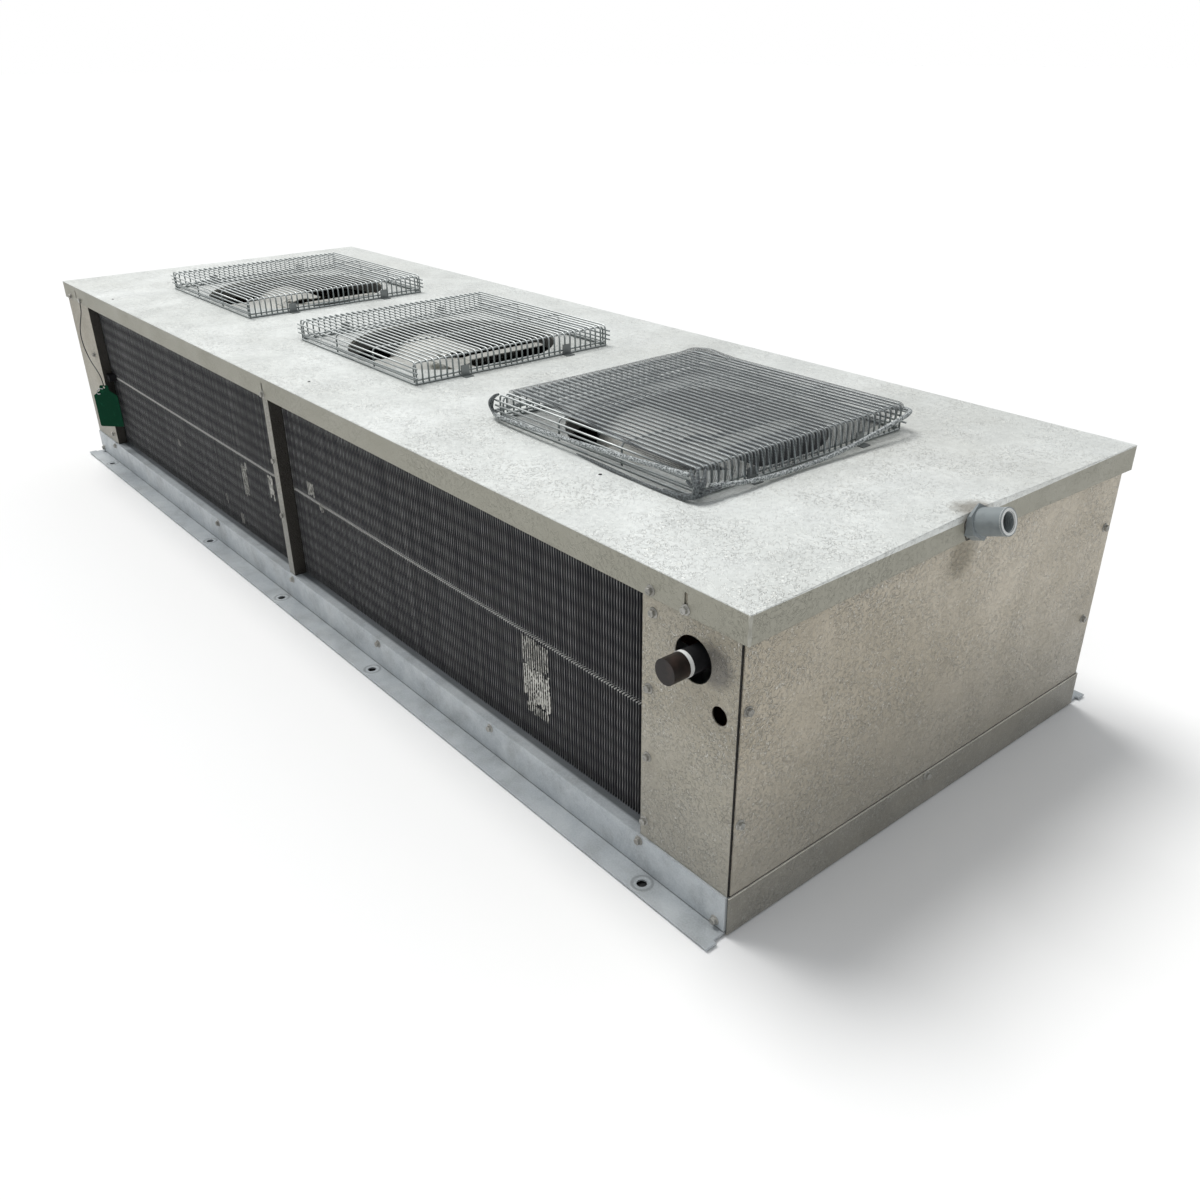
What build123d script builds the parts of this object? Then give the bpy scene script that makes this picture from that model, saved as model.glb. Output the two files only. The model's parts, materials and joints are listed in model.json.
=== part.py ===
from build123d import *
import math
import os

# Walk-in unit cooler, low centre-mount type with a coil along each long side, lying ceiling side down.
# X runs along the cabinet, +X to the drain end; -Y is the side with the suction connection; +Z is up.
# The origin is the middle of the mounting plane, between the hanger holes of both rails.

# ---------------------------------------------------------------- driving dimensions (mm)
LENGTH = 2200.0            # drain pan, along X
WIDTH = 750.0              # drain pan, along Y
HEIGHT = 412.0             # mounting plane to the flat of the drain pan
SHEET = 1.5                # stucco aluminium sheet
FIT = 0.5                  # play between the pan rim and the cabinet sides
RUN_CLEARANCE = 0.05       # radial play of a shaft, a sleeve or a cap

RIM_HEIGHT = 35.0          # downturned edge of the drain pan
PAN_OVERHANG = 7.5         # free gap between the pan's end rims and the end panels
CROWN_RISE = 9.0           # the pan rises to this above its flat at the drain
CROWN_RUN = 230.0          # length of the raised end of the pan
KEYHOLE_LENGTH = 16.0      # slots in the long rims that let the pan drop off its screws
KEYHOLE_WIDTH = 5.0
KEYHOLE_INSET = 88.0       # end keyholes, from the pan's ends

RAIL_HEIGHT = 53.0
RAIL_SHEET = 2.5
FLANGE_WIDTH = 32.0        # outward mounting flange of a rail
LEDGE_WIDTH = 43.0         # inward ledge that carries the coils
FLANGE_OVERRUN = 4.0       # the flange runs past the end panels by this
HANGER_RADIUS = 6.5        # holes for the hanger rods
HANGER_INSET = 122.0       # outer hanger holes, from the end panels
HANGER_MID_PITCH = 336.0   # inner hanger holes
HANGER_MID_X = -23.0       # middle of the inner row

CHANNEL_HEIGHT = 53.0      # strip across the foot of each end
CHANNEL_FOOT = 40.0

COVER_WIDTH = 145.0        # corner cover plates beside the coils
COVER_RETURN = 20.0        # their inward edges
CORNER_GAP = 3.5           # dark joint between a cover plate and the end panel

COIL_DEPTH = 66.0          # three rows of tubes
COIL_RECESS = 22.0         # coil face behind the cover plates
COIL_TUCK = 6.0            # the fins run on behind the cover plates by this
SEAM_GAP = 3.0             # between the lower and the upper coil slab
TUBE_SHEET = 2.0

DIVIDER_WIDTH = 21.0
GUIDE_HEIGHT = 32.5        # strip above the coils, behind the pan's rim
GUIDE_LEG = 40.0

FAN_COUNT = 3
FAN_INSET_LEFT = 470.0     # first fan, from the pan's left end
FAN_INSET_RIGHT = 450.0    # last fan, from the drain end
FAN_ROW_Y = -10.0
OPENING_RADIUS = 187.0
COLLAR_DEPTH = 12.0        # turned down edge of each fan opening
TIP_CLEARANCE = 11.0       # fan to ring
FAN_SINK = 15.0            # top of the fan below the flat of the pan
FAN_HEIGHT = 46.0
BLADE_COUNT = 4
BLADE_PITCH = 24.0         # degrees
BLADE_CHORD = 118.0
BLADE_CAMBER = 14.0        # rise of the blade's arc
BLADE_SHEET = 1.6
HUB_RADIUS = 32.0
HUB_HEIGHT = 22.0
SHAFT_RADIUS = 4.0
SHAFT_IN_MOTOR = 30.0

MOTOR_RADIUS = 47.0
MOTOR_HEIGHT = 78.0
MOTOR_RIB = 2.5            # raised middle band of the motor shell
MOTOR_GAP = 8.0            # hub to motor
BRACKET_WIDTH = 30.0
BRACKET_SHEET = 3.0
BRACKET_SPREAD = 14.0      # bracket legs outside the fan opening
BRACKET_FOOT = 22.0

GUARD_LENGTH = 409.0
GUARD_WIDTH = 400.0
GUARD_HEIGHT = 38.0
GUARD_WIRE = 2.8
GUARD_WIRE_COUNT = 18      # long wires, every second one of the real basket
GUARD_CROSS_COUNT = 4
GUARD_SIDE_ROWS = 3
CLIP_OFFSET = 105.0        # guard clips, either side of the guard's middle
CLIP_WIDTH = 16.0
CLIP_HEIGHT = 18.0
CLIP_FOOT = 14.0
CLIP_SHEET = 1.5

STUB_INSET = 68.0          # suction connection, from the end panel
STUB_DROP = 83.0           # and below the top of the pan
STUB_RADIUS = 11.1
STUB_WALL = 1.2
STUB_REACH = 38.0          # beyond the cover plate
PIPE_HOLE_RADIUS = 27.0
SLEEVE_WALL = 3.4
SLEEVE_LENGTH = 44.0
SLEEVE_REACH = 12.0
BAND_WIDTH = 5.0
BAND_WALL = 1.6
CAP_WALL = 3.6
CAP_LENGTH = 19.0
HEADER_RADIUS = 14.3
HEADER_LENGTH = 250.0
FEEDER_RADIUS = 4.8
FEEDER_COUNT = 3
CABLE_HOLE_INSET = 27.0
CABLE_HOLE_DROP = 132.0
CABLE_HOLE_RADIUS = 11.0

DRAIN_Y = -4.0
DRAIN_DROP = 7.0           # drain axis below the flat of the pan
DRAIN_TILT = 18.0          # degrees
DRAIN_RADIUS = 16.5
DRAIN_BORE = 12.0
DRAIN_LENGTH = 34.0
DRAIN_SPIGOT = 11.0        # radius of the part that passes through the rim
DRAIN_THREAD_LENGTH = 20.0
DRAIN_TAIL = 3.0           # spigot inside the rim
NUT_THICKNESS = 9.0
NUT_RADIUS = 22.0

FOAM_SIZE = (22.0, 16.0, 13.0)

NET_GAP = 0.4
NET_THICKNESS = 1.0
NET_HEM_CLEARANCE = 6.0    # net edge above the pan
NET_FRONT_DROP = 12.0      # the net reaches only this far down on the front side
HEM_RADIUS = 3.5
HEM_LIFT = 28.0            # the hem rides up by this at the right corners
GATHER_LENGTH = 34.0       # bunched net between the two ends of the hem

SCREW_INSET = 115.0        # screw that the tag's cord hangs from, from the pan's end
SCREW_DROP = 28.0
SCREW_RADIUS = 2.1
SCREW_HEAD = 4.6           # half width across flats
SCREW_HEAD_HEIGHT = 4.5
SCREW_LENGTH = 14.0
CORD_RADIUS = 1.1
CORD_DROP = 14.0           # straight run at either end of the cord
# middle points of the cord: aside, out and down from the screw's place on the pan's rim
CORD_COURSE = [(-9, 6, 41), (-21, 10, 65), (-24, 11, 92), (-13, 10, 118), (12, 10, 137), (44, 10, 149)]
TAG_ASIDE = 69.0           # top of the tag's neck, from the screw
TAG_OUT = 10.0             # and out from the pan's rim
TAG_DROP = 179.0
TAG_WIDTH = 58.0
TAG_HEIGHT = 98.0
TAG_BODY_HEIGHT = 74.0
TAG_CORNER = 4.0
TAG_NECK = 11.0            # half width
TAG_EYE = 2.5
TAG_SHEET = 1.0
TAG_TURN = 43.0            # degrees

# ---------------------------------------------------------------- derived positions
PAN_UNDERSIDE = HEIGHT - SHEET
SIDE_Y = WIDTH / 2 - SHEET - FIT              # outer face of the cover plates
END_X = LENGTH / 2 - SHEET - PAN_OVERHANG     # outer face of the end panels
PANEL_INNER_X = END_X - SHEET
RAIL_Y = SIDE_Y + RAIL_SHEET
FLANGE_Y = RAIL_Y + FLANGE_WIDTH
HANGER_Y = RAIL_Y + FLANGE_WIDTH / 2
HANGER_END_X = END_X - HANGER_INSET
COVER_INNER_X = PANEL_INNER_X - COVER_WIDTH   # edge of the coil opening
COIL_Y = SIDE_Y - COIL_RECESS                 # coil face
COIL_TOP = HEIGHT - SHEET - GUIDE_HEIGHT
SLAB_HEIGHT = (COIL_TOP - RAIL_HEIGHT - SEAM_GAP) / 2
COIL_END_X = COVER_INNER_X + COIL_TUCK
FAN_RADIUS = OPENING_RADIUS - TIP_CLEARANCE
FAN_TOP = HEIGHT - FAN_SINK
FAN_BOTTOM = FAN_TOP - FAN_HEIGHT
HUB_BOTTOM = FAN_BOTTOM + 4.0
MOTOR_TOP = HUB_BOTTOM - MOTOR_GAP
MOTOR_BOTTOM = MOTOR_TOP - MOTOR_HEIGHT
STUB_X = END_X - STUB_INSET
STUB_Z = HEIGHT - STUB_DROP
CABLE_HOLE_X = END_X - CABLE_HOLE_INSET
CABLE_HOLE_Z = HEIGHT - CABLE_HOLE_DROP
SCREW_X = SCREW_INSET - LENGTH / 2
SCREW_Z = HEIGHT - SCREW_DROP
TAG_X = SCREW_X + TAG_ASIDE
TAG_Y = -WIDTH / 2 - TAG_OUT
TAG_TOP = SCREW_Z - TAG_DROP
FAN_PITCH = (LENGTH - FAN_INSET_LEFT - FAN_INSET_RIGHT) / (FAN_COUNT - 1)
FANS = [(FAN_INSET_LEFT - LENGTH / 2 + k * FAN_PITCH, FAN_ROW_Y) for k in range(FAN_COUNT)]


# ---------------------------------------------------------------- helpers
def block(x, y, z):
    """A box between two corners given as ranges."""
    centre = [(a + b) / 2 for a, b in (x, y, z)]
    return Pos(*centre) * Box(*(abs(b - a) for a, b in (x, y, z)))


def along_x(points, x0, x1):
    """A closed outline in (y, z), extruded between two x positions."""
    return extrude(Plane.YZ.offset(x0) * make_face(Polyline(*points, close=True)), x1 - x0)


def along_y(points, y0, y1):
    """A closed outline in (x, z), extruded between two y positions."""
    return extrude(Plane.XZ.offset(-y1) * make_face(Polyline(*points, close=True)), y1 - y0)


def along_z(points, z0, z1):
    """A closed outline in (x, y), extruded between two z positions."""
    return extrude(Plane.XY.offset(z0) * make_face(Polyline(*points, close=True)), z1 - z0)


def bar_y(radius, x, z, y0, y1):
    """A round bar along Y."""
    return Pos(x, (y0 + y1) / 2, z) * Rot(90, 0, 0) * Cylinder(radius, abs(y1 - y0))


def bar_z(radius, x, y, z0, z1):
    """A round bar along Z."""
    return Pos(x, y, (z0 + z1) / 2) * Cylinder(radius, z1 - z0)


def other_side(shape):
    """The same piece on the back side."""
    return mirror(shape, about=Plane.XZ)


def other_end(shape):
    """The same piece at the left end."""
    return mirror(shape, about=Plane.YZ)


# ---------------------------------------------------------------- drain pan
def crown(drop):
    """The raised end of the pan: two slopes that meet on a ridge towards the drain."""
    x0, x1, z0 = LENGTH / 2 - CROWN_RUN, LENGTH / 2, PAN_UNDERSIDE - drop
    base = [(x1, -WIDTH / 2, z0), (x1, WIDTH / 2, z0), (x0, 0, z0)]
    apex = (x1, 0, z0 + CROWN_RISE + SHEET)
    corners = [Vector(*p) for p in base + [apex]]
    trios = [(0, 1, 2), (0, 1, 3), (1, 2, 3), (2, 0, 3)]
    return Solid(Shell([Face(Wire.make_polygon([corners[i] for i in trio])) for trio in trios]))


def drain_pan():
    half_x, half_y = LENGTH / 2, WIDTH / 2
    rim_foot = HEIGHT - RIM_HEIGHT
    pan = block((-half_x, half_x), (-half_y, half_y), (rim_foot, HEIGHT)) + crown(0)
    inner_x, inner_y = half_x - SHEET, half_y - SHEET
    inside = block((-inner_x, inner_x), (-inner_y, inner_y), (rim_foot, PAN_UNDERSIDE))
    hollow = inside + (crown(SHEET) & block((0, inner_x), (-half_y, half_y), (0, 2 * HEIGHT)))
    pan -= hollow
    bow = [(-half_y, rim_foot), (half_y, rim_foot), (0, rim_foot + CROWN_RISE)]
    pan -= along_x(bow, inner_x, half_x)
    for x, y in FANS:
        pan += bar_z(OPENING_RADIUS + SHEET, x, y, HEIGHT - COLLAR_DEPTH, PAN_UNDERSIDE)
        pan -= bar_z(OPENING_RADIUS, x, y, HEIGHT - COLLAR_DEPTH, HEIGHT)
    keyhole = SlotOverall(KEYHOLE_LENGTH, KEYHOLE_WIDTH, rotation=90)
    z = HEIGHT - RIM_HEIGHT / 2
    for x in (KEYHOLE_INSET - half_x, 0, half_x - KEYHOLE_INSET):
        pan -= extrude(Plane.XZ * Pos(x, z) * keyhole, half_y, both=True)
    return pan - drain_hole() - tag_screw_hole()


# ---------------------------------------------------------------- drain outlet
def drain_axis():
    """The drain's own frame: origin on the pan's end rim, Z out of the cabinet, sloping with the pan."""
    return Pos(LENGTH / 2, DRAIN_Y, HEIGHT - DRAIN_DROP) * Rot(0, 90 - DRAIN_TILT, 0)


def drain_hole():
    return drain_axis() * Cylinder(DRAIN_SPIGOT + RUN_CLEARANCE, 2 * DRAIN_LENGTH)


def drain_nut():
    """Hexagon nut cut to the slope of the drain, flat against the pan's rim."""
    nut = drain_axis() * extrude(RegularPolygon(NUT_RADIUS, 6), NUT_THICKNESS, both=True)
    return nut - drain_hole() - block((0, LENGTH / 2), (-WIDTH, WIDTH), (0, 2 * HEIGHT))


def drain_fitting():
    """Threaded socket with a spigot that passes through the nut and the rim."""
    socket = Pos(0, 0, NUT_THICKNESS + DRAIN_LENGTH / 2) * Cylinder(DRAIN_RADIUS, DRAIN_LENGTH)
    middle = (NUT_THICKNESS - DRAIN_TAIL) / 2
    spigot = Pos(0, 0, middle) * Cylinder(DRAIN_SPIGOT, NUT_THICKNESS + DRAIN_TAIL)
    mouth = NUT_THICKNESS + DRAIN_LENGTH
    thread = Pos(0, 0, mouth - DRAIN_THREAD_LENGTH / 2) * Cylinder(DRAIN_BORE, DRAIN_THREAD_LENGTH)
    return drain_axis() * (socket + spigot - thread - Cylinder(DRAIN_SPIGOT - 2 * SHEET, 2 * LENGTH))


# ---------------------------------------------------------------- cabinet sheets
def end_panel_right():
    """End wall, stiffened by a flange under the pan that stops short of the cover plates."""
    half = SIDE_Y - CORNER_GAP
    wall = block((PANEL_INNER_X, END_X), (-half, half), (SHEET, PAN_UNDERSIDE))
    half -= 2 * COVER_RETURN
    flange = block((END_X - COVER_RETURN, END_X), (-half, half), (PAN_UNDERSIDE - SHEET, PAN_UNDERSIDE))
    return wall + flange


def end_channel_right():
    outer = END_X + SHEET
    outline = [
        (outer, 0), (outer, CHANNEL_HEIGHT), (END_X, CHANNEL_HEIGHT), (END_X, SHEET),
        (outer - CHANNEL_FOOT, SHEET), (outer - CHANNEL_FOOT, 0),
    ]
    return along_y(outline, -SIDE_Y, SIDE_Y)


def cover_plate_right_front():
    """Plate beside the coil with an inward edge at the coil and another behind the end panel."""
    y = -SIDE_Y
    x0, x1 = COVER_INNER_X, PANEL_INNER_X
    outline = [
        (x0, y), (x1, y), (x1, y + COVER_RETURN), (x1 - SHEET, y + COVER_RETURN), (x1 - SHEET, y + SHEET),
        (x0 + SHEET, y + SHEET), (x0 + SHEET, y + COVER_RETURN), (x0, y + COVER_RETURN),
    ]
    return along_z(outline, RAIL_HEIGHT, PAN_UNDERSIDE)


def cover_plate_connections():
    plate = cover_plate_right_front()
    plate -= bar_y(PIPE_HOLE_RADIUS, STUB_X, STUB_Z, -SIDE_Y, SHEET - SIDE_Y)
    return plate - bar_y(CABLE_HOLE_RADIUS, CABLE_HOLE_X, CABLE_HOLE_Z, -SIDE_Y, SHEET - SIDE_Y)


def deck():
    """Ceiling side sheet, with its long edges turned up behind the rails."""
    y, t = SIDE_Y, SHEET
    top = RAIL_HEIGHT - RAIL_SHEET
    outline = [
        (-y, t), (y, t), (y, top), (y - t, top),
        (y - t, 2 * t), (t - y, 2 * t), (t - y, top), (-y, top),
    ]
    return along_x(outline, -PANEL_INNER_X, PANEL_INNER_X)


def mounting_rail_front():
    """Z-shaped rail: flange outwards on the ceiling, web, and a ledge inwards for the coils."""
    t, top = RAIL_SHEET, RAIL_HEIGHT
    outline = [
        (-FLANGE_Y, 0), (-SIDE_Y, 0), (-SIDE_Y, top - t), (LEDGE_WIDTH - RAIL_Y, top - t),
        (LEDGE_WIDTH - RAIL_Y, top), (-RAIL_Y, top), (-RAIL_Y, t), (-FLANGE_Y, t),
    ]
    rail = along_x(outline, -END_X - FLANGE_OVERRUN, END_X + FLANGE_OVERRUN)
    for end in (-1, 1):
        outside = (end * PANEL_INNER_X, end * LENGTH)
        rail -= block(outside, (SHEET - SIDE_Y - COVER_RETURN, 0), (0, HEIGHT))
        rail -= block(outside, (-SIDE_Y, 0), (0, HEIGHT))
    for x in hanger_holes():
        rail -= bar_z(HANGER_RADIUS, x, -HANGER_Y, 0, t)
    return rail


def hanger_holes():
    inner = [HANGER_MID_X + k * HANGER_MID_PITCH for k in (-1, 0, 1)]
    return [-HANGER_END_X] + inner + [HANGER_END_X]


def coil_guide_front():
    """Channel between the cover plates, over the coils and under the pan."""
    y, t = SIDE_Y, SHEET
    outline = [
        (-y, COIL_TOP), (GUIDE_LEG - y, COIL_TOP), (GUIDE_LEG - y, COIL_TOP + t), (t - y, COIL_TOP + t),
        (t - y, PAN_UNDERSIDE - t), (GUIDE_LEG - y, PAN_UNDERSIDE - t),
        (GUIDE_LEG - y, PAN_UNDERSIDE), (-y, PAN_UNDERSIDE),
    ]
    return along_x(outline, -COVER_INNER_X, COVER_INNER_X)


def divider_front():
    """Narrow channel that stands before the coil at mid length."""
    half, t, y = DIVIDER_WIDTH / 2, SHEET, -SIDE_Y
    outline = [
        (-half, y), (half, y), (half, -COIL_Y), (half - t, -COIL_Y), (half - t, y + t),
        (t - half, y + t), (t - half, -COIL_Y), (-half, -COIL_Y),
    ]
    return along_z(outline, RAIL_HEIGHT, COIL_TOP)


# ---------------------------------------------------------------- coils
def fin_pack_front(level):
    z = RAIL_HEIGHT + level * (SLAB_HEIGHT + SEAM_GAP)
    return block((-COIL_END_X, COIL_END_X), (-COIL_Y, COIL_DEPTH - COIL_Y), (z, z + SLAB_HEIGHT))


def tube_sheet_right_front():
    """End plate of both slabs, with a stiffening edge towards the end panel."""
    y0, y1 = -COIL_Y, COIL_DEPTH - COIL_Y
    x0, x1 = COIL_END_X, COIL_END_X + TUBE_SHEET
    outline = [
        (x0, y0), (x1 + COVER_RETURN, y0), (x1 + COVER_RETURN, y0 + TUBE_SHEET), (x1, y0 + TUBE_SHEET),
        (x1, y1 - TUBE_SHEET), (x1 + COVER_RETURN, y1 - TUBE_SHEET), (x1 + COVER_RETURN, y1), (x0, y1),
    ]
    return along_z(outline, RAIL_HEIGHT, COIL_TOP)


def header_y():
    return COIL_DEPTH / 2 - COIL_Y


def suction_header():
    """Upright pipe beside the front coil, with the stub that leaves through the cover plate."""
    z1 = STUB_Z + HEADER_RADIUS + SLEEVE_WALL
    pipe = bar_z(HEADER_RADIUS, STUB_X, header_y(), z1 - HEADER_LENGTH, z1)
    pipe += bar_y(STUB_RADIUS, STUB_X, STUB_Z, -SIDE_Y - STUB_REACH, header_y())
    for k in range(FEEDER_COUNT):
        z = z1 - HEADER_LENGTH * (k + 0.5) / FEEDER_COUNT
        reach = STUB_X - COIL_END_X - TUBE_SHEET
        pipe += Pos(STUB_X - reach / 2, header_y(), z) * Rot(0, 90, 0) * Cylinder(FEEDER_RADIUS, reach)
    return pipe - bar_y(STUB_RADIUS - STUB_WALL, STUB_X, STUB_Z, -SIDE_Y - STUB_REACH, -SIDE_Y)


def stub_ring(wall, y0, y1):
    """A sleeve on the suction stub."""
    inner = STUB_RADIUS + RUN_CLEARANCE
    return bar_y(inner + wall, STUB_X, STUB_Z, y0, y1) - bar_y(inner, STUB_X, STUB_Z, y0, y1)


def stub_sleeve():
    return stub_ring(SLEEVE_WALL, -SIDE_Y - SLEEVE_REACH, -SIDE_Y - SLEEVE_REACH + SLEEVE_LENGTH)


def stub_band():
    y1 = -SIDE_Y - SLEEVE_REACH
    return stub_ring(SLEEVE_WALL + BAND_WALL - 1, y1 - BAND_WIDTH, y1)


def stub_cap():
    """Closed plastic cap pushed over the end of the stub."""
    y1 = -SIDE_Y - SLEEVE_REACH - BAND_WIDTH
    y0 = -SIDE_Y - STUB_REACH
    cap = stub_ring(CAP_WALL, y0, y1)
    return cap + bar_y(STUB_RADIUS + RUN_CLEARANCE + CAP_WALL, STUB_X, STUB_Z, y0 - SHEET, y0)


def seam_foam():
    """Foam block pushed against the coil face at the left end of the seam."""
    dx, dy, dz = FOAM_SIZE
    z = RAIL_HEIGHT + SLAB_HEIGHT + SEAM_GAP / 2
    return block((-COVER_INNER_X, dx - COVER_INNER_X), (-COIL_Y - dy, -COIL_Y), (z - dz / 2, z + dz / 2))


# ---------------------------------------------------------------- fans
def fan(x, y):
    """Sheet metal propeller: cambered blades, trimmed round, on a turned hub."""
    radius = (BLADE_CHORD ** 2 / 4 + BLADE_CAMBER ** 2) / (2 * BLADE_CAMBER)
    ends = [(-BLADE_CHORD / 2, 0), (0, BLADE_CAMBER), (BLADE_CHORD / 2, 0)]
    arc = ThreePointArc(*ends)
    inner = ThreePointArc(*[(px * (radius - BLADE_SHEET) / radius, pz - BLADE_SHEET) for px, pz in ends])
    section = make_face(arc + inner + Line(arc @ 0, inner @ 0) + Line(arc @ 1, inner @ 1))
    section = Plane.XZ * Pos(0, -BLADE_CAMBER / 2) * Rot(0, 0, BLADE_PITCH) * section
    blade = extrude(section, -FAN_RADIUS - BLADE_CHORD / 2)
    blades = Part() + [Rot(0, 0, 360 * k / BLADE_COUNT) * blade for k in range(BLADE_COUNT)]
    trim = Cylinder(FAN_RADIUS, FAN_HEIGHT) - Cylinder(HUB_RADIUS - BLADE_SHEET, FAN_HEIGHT)
    rotor = blades & trim
    lift = HUB_BOTTOM - FAN_BOTTOM + (HUB_HEIGHT - FAN_HEIGHT) / 2
    hub = Pos(0, 0, lift) * Cylinder(HUB_RADIUS, HUB_HEIGHT)
    rotor = rotor + hub - Cylinder(SHAFT_RADIUS + RUN_CLEARANCE, 2 * FAN_HEIGHT)
    return Pos(x, y, (FAN_TOP + FAN_BOTTOM) / 2) * rotor


def motor_shaft(x, y):
    return bar_z(SHAFT_RADIUS, x, y, MOTOR_TOP - SHAFT_IN_MOTOR, HUB_BOTTOM + HUB_HEIGHT)


def motor(x, y):
    """Closed motor with a raised band round its middle and a bore for the shaft."""
    half, third = MOTOR_HEIGHT / 2, MOTOR_HEIGHT / 6
    shell = MOTOR_RADIUS - MOTOR_RIB
    outline = [
        (0, -half), (shell, -half), (shell, -third), (MOTOR_RADIUS, -third),
        (MOTOR_RADIUS, third), (shell, third), (shell, half), (0, half),
    ]
    body = revolve(Plane.XZ * make_face(Polyline(*outline, close=True)), Axis.Z)
    body = Pos(x, y, MOTOR_BOTTOM + half) * body
    return body - bar_z(SHAFT_RADIUS + RUN_CLEARANCE, x, y, MOTOR_TOP - SHAFT_IN_MOTOR - 1, MOTOR_TOP)


def motor_bracket(x, y):
    """Flat bar bent into a cradle: feet under the pan, legs down, and a bridge under the motor."""
    t = BRACKET_SHEET
    leg = OPENING_RADIUS + SHEET + BRACKET_SPREAD
    top, low = PAN_UNDERSIDE, MOTOR_BOTTOM
    foot = leg + BRACKET_FOOT
    half = [
        (leg, low), (leg, top), (foot, top), (foot, top - t), (leg + t, top - t), (leg + t, low - t),
    ]
    outline = half + [(-px, pz) for px, pz in reversed(half)]
    bar = along_y(outline, -BRACKET_WIDTH / 2, BRACKET_WIDTH / 2)
    return Pos(x, y, 0) * bar


# ---------------------------------------------------------------- guards
def wire_mesh(length, width, wire_count, cross_count, wire=GUARD_WIRE):
    """Flat mesh in its own XY plane: wires along X, cross wires along Y."""
    gap_x = (length - cross_count * wire) / (cross_count - 1)
    gap_y = (width - wire_count * wire) / (wire_count - 1)
    grid = GridLocations(gap_x + wire, gap_y + wire, cross_count - 1, wire_count - 1)
    holes = grid * Rectangle(gap_x, gap_y)
    return extrude(Rectangle(length, width) - holes, wire)


def guard(x, y):
    """Square wire basket: a close mesh on top and the same wires bent down round the sides."""
    skirt = GUARD_HEIGHT - GUARD_WIRE
    top = Pos(0, 0, skirt) * wire_mesh(GUARD_LENGTH, GUARD_WIDTH, GUARD_WIRE_COUNT, GUARD_CROSS_COUNT)
    end = wire_mesh(skirt, GUARD_WIDTH, GUARD_WIRE_COUNT, 2)
    side = wire_mesh(GUARD_LENGTH, skirt, GUARD_SIDE_ROWS, GUARD_CROSS_COUNT)
    basket = top
    for turn in (-1, 1):
        basket += Pos(turn * GUARD_LENGTH / 2, 0, skirt / 2) * Rot(0, -90 * turn, 0) * end
        basket += Pos(0, turn * GUARD_WIDTH / 2, skirt / 2) * Rot(90 * turn, 0, 0) * side
    return Pos(x, y, HEIGHT) * basket


def guard_clips():
    """L-shaped clips that hold the guards down, outside both ends of each guard."""
    outline = [
        (0, 0), (CLIP_FOOT, 0), (CLIP_FOOT, CLIP_SHEET),
        (CLIP_SHEET, CLIP_SHEET), (CLIP_SHEET, CLIP_HEIGHT), (0, CLIP_HEIGHT),
    ]
    clip = Pos(GUARD_LENGTH / 2, 0, HEIGHT) * along_y(outline, -CLIP_WIDTH / 2, CLIP_WIDTH / 2)
    clips = []
    for x, y in FANS:
        for side in (clip, mirror(clip, about=Plane.YZ)):
            clips += [Pos(x, y + step, 0) * side for step in (-CLIP_OFFSET, CLIP_OFFSET)]
    return Compound(clips)


# ---------------------------------------------------------------- net over the last guard
def net_cover(x, y):
    """Thin net pulled over the guard: down to the hem on three sides, and only a little on the front."""
    z1 = HEIGHT + GUARD_HEIGHT + NET_GAP
    skin = NET_GAP + NET_THICKNESS + CLIP_SHEET
    half_x, half_y = GUARD_LENGTH / 2 + skin, GUARD_WIDTH / 2 + skin
    t = NET_THICKNESS
    outer = block((-half_x, half_x), (-half_y, half_y), (HEIGHT + NET_HEM_CLEARANCE, z1 + t))
    inner = block((t - half_x, half_x - t), (t - half_y, half_y - t), (HEIGHT, z1))
    front = block((t - half_x, half_x - t), (-half_y, t - half_y), (HEIGHT, z1 - NET_FRONT_DROP))
    net = fillet(outer.edges().group_by(Axis.Z)[-1], t) - inner - front
    return Pos(x, y, 0) * net


def hem_line():
    """Half sizes of the rectangle that the hem follows on the pan."""
    reach = NET_GAP + NET_THICKNESS + CLIP_SHEET
    return GUARD_LENGTH / 2 + reach + CLIP_FOOT + HEM_RADIUS, GUARD_WIDTH / 2 + reach + 2 * HEM_RADIUS


def net_hem(x, y):
    """Elastic rope in the hem: on the pan at the left, climbing at the right, open at the near corner."""
    half_x, half_y = hem_line()
    low, high = HEIGHT + HEM_RADIUS, HEIGHT + HEM_LIFT
    middle = (low + high) / 2
    near, front = GATHER_LENGTH - half_y, half_x - GATHER_LENGTH
    corners = [
        (front, -half_y, high), (front - GATHER_LENGTH, -half_y, high), (-half_x, -half_y, low),
        (-half_x, half_y, low), (half_x, half_y, high), (half_x, 0, low),
        (half_x, near + GATHER_LENGTH, middle), (half_x, near, middle),
    ]
    path = FilletPolyline(*corners, radius=5 * HEM_RADIUS)
    rope = sweep(Plane(path @ 0, z_dir=path % 0) * RegularPolygon(HEM_RADIUS, 6), path=path)
    return Pos(x, y, 0) * rope


def net_gather(x, y):
    """Bunched net at the near right corner, between the two ends of the hem."""
    half_x, half_y = hem_line()
    w = HEM_RADIUS
    outline = [
        (half_x - GATHER_LENGTH, -half_y - w), (half_x - w, -half_y - w),
        (half_x + w, w - half_y), (half_x + w, GATHER_LENGTH - half_y),
        (half_x - w, GATHER_LENGTH - half_y), (half_x - w, 3 * w - half_y),
        (half_x - 3 * w, w - half_y), (half_x - GATHER_LENGTH, w - half_y),
    ]
    return Pos(x, y, 0) * along_z(outline, HEIGHT, HEIGHT + HEM_LIFT + w)


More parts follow.
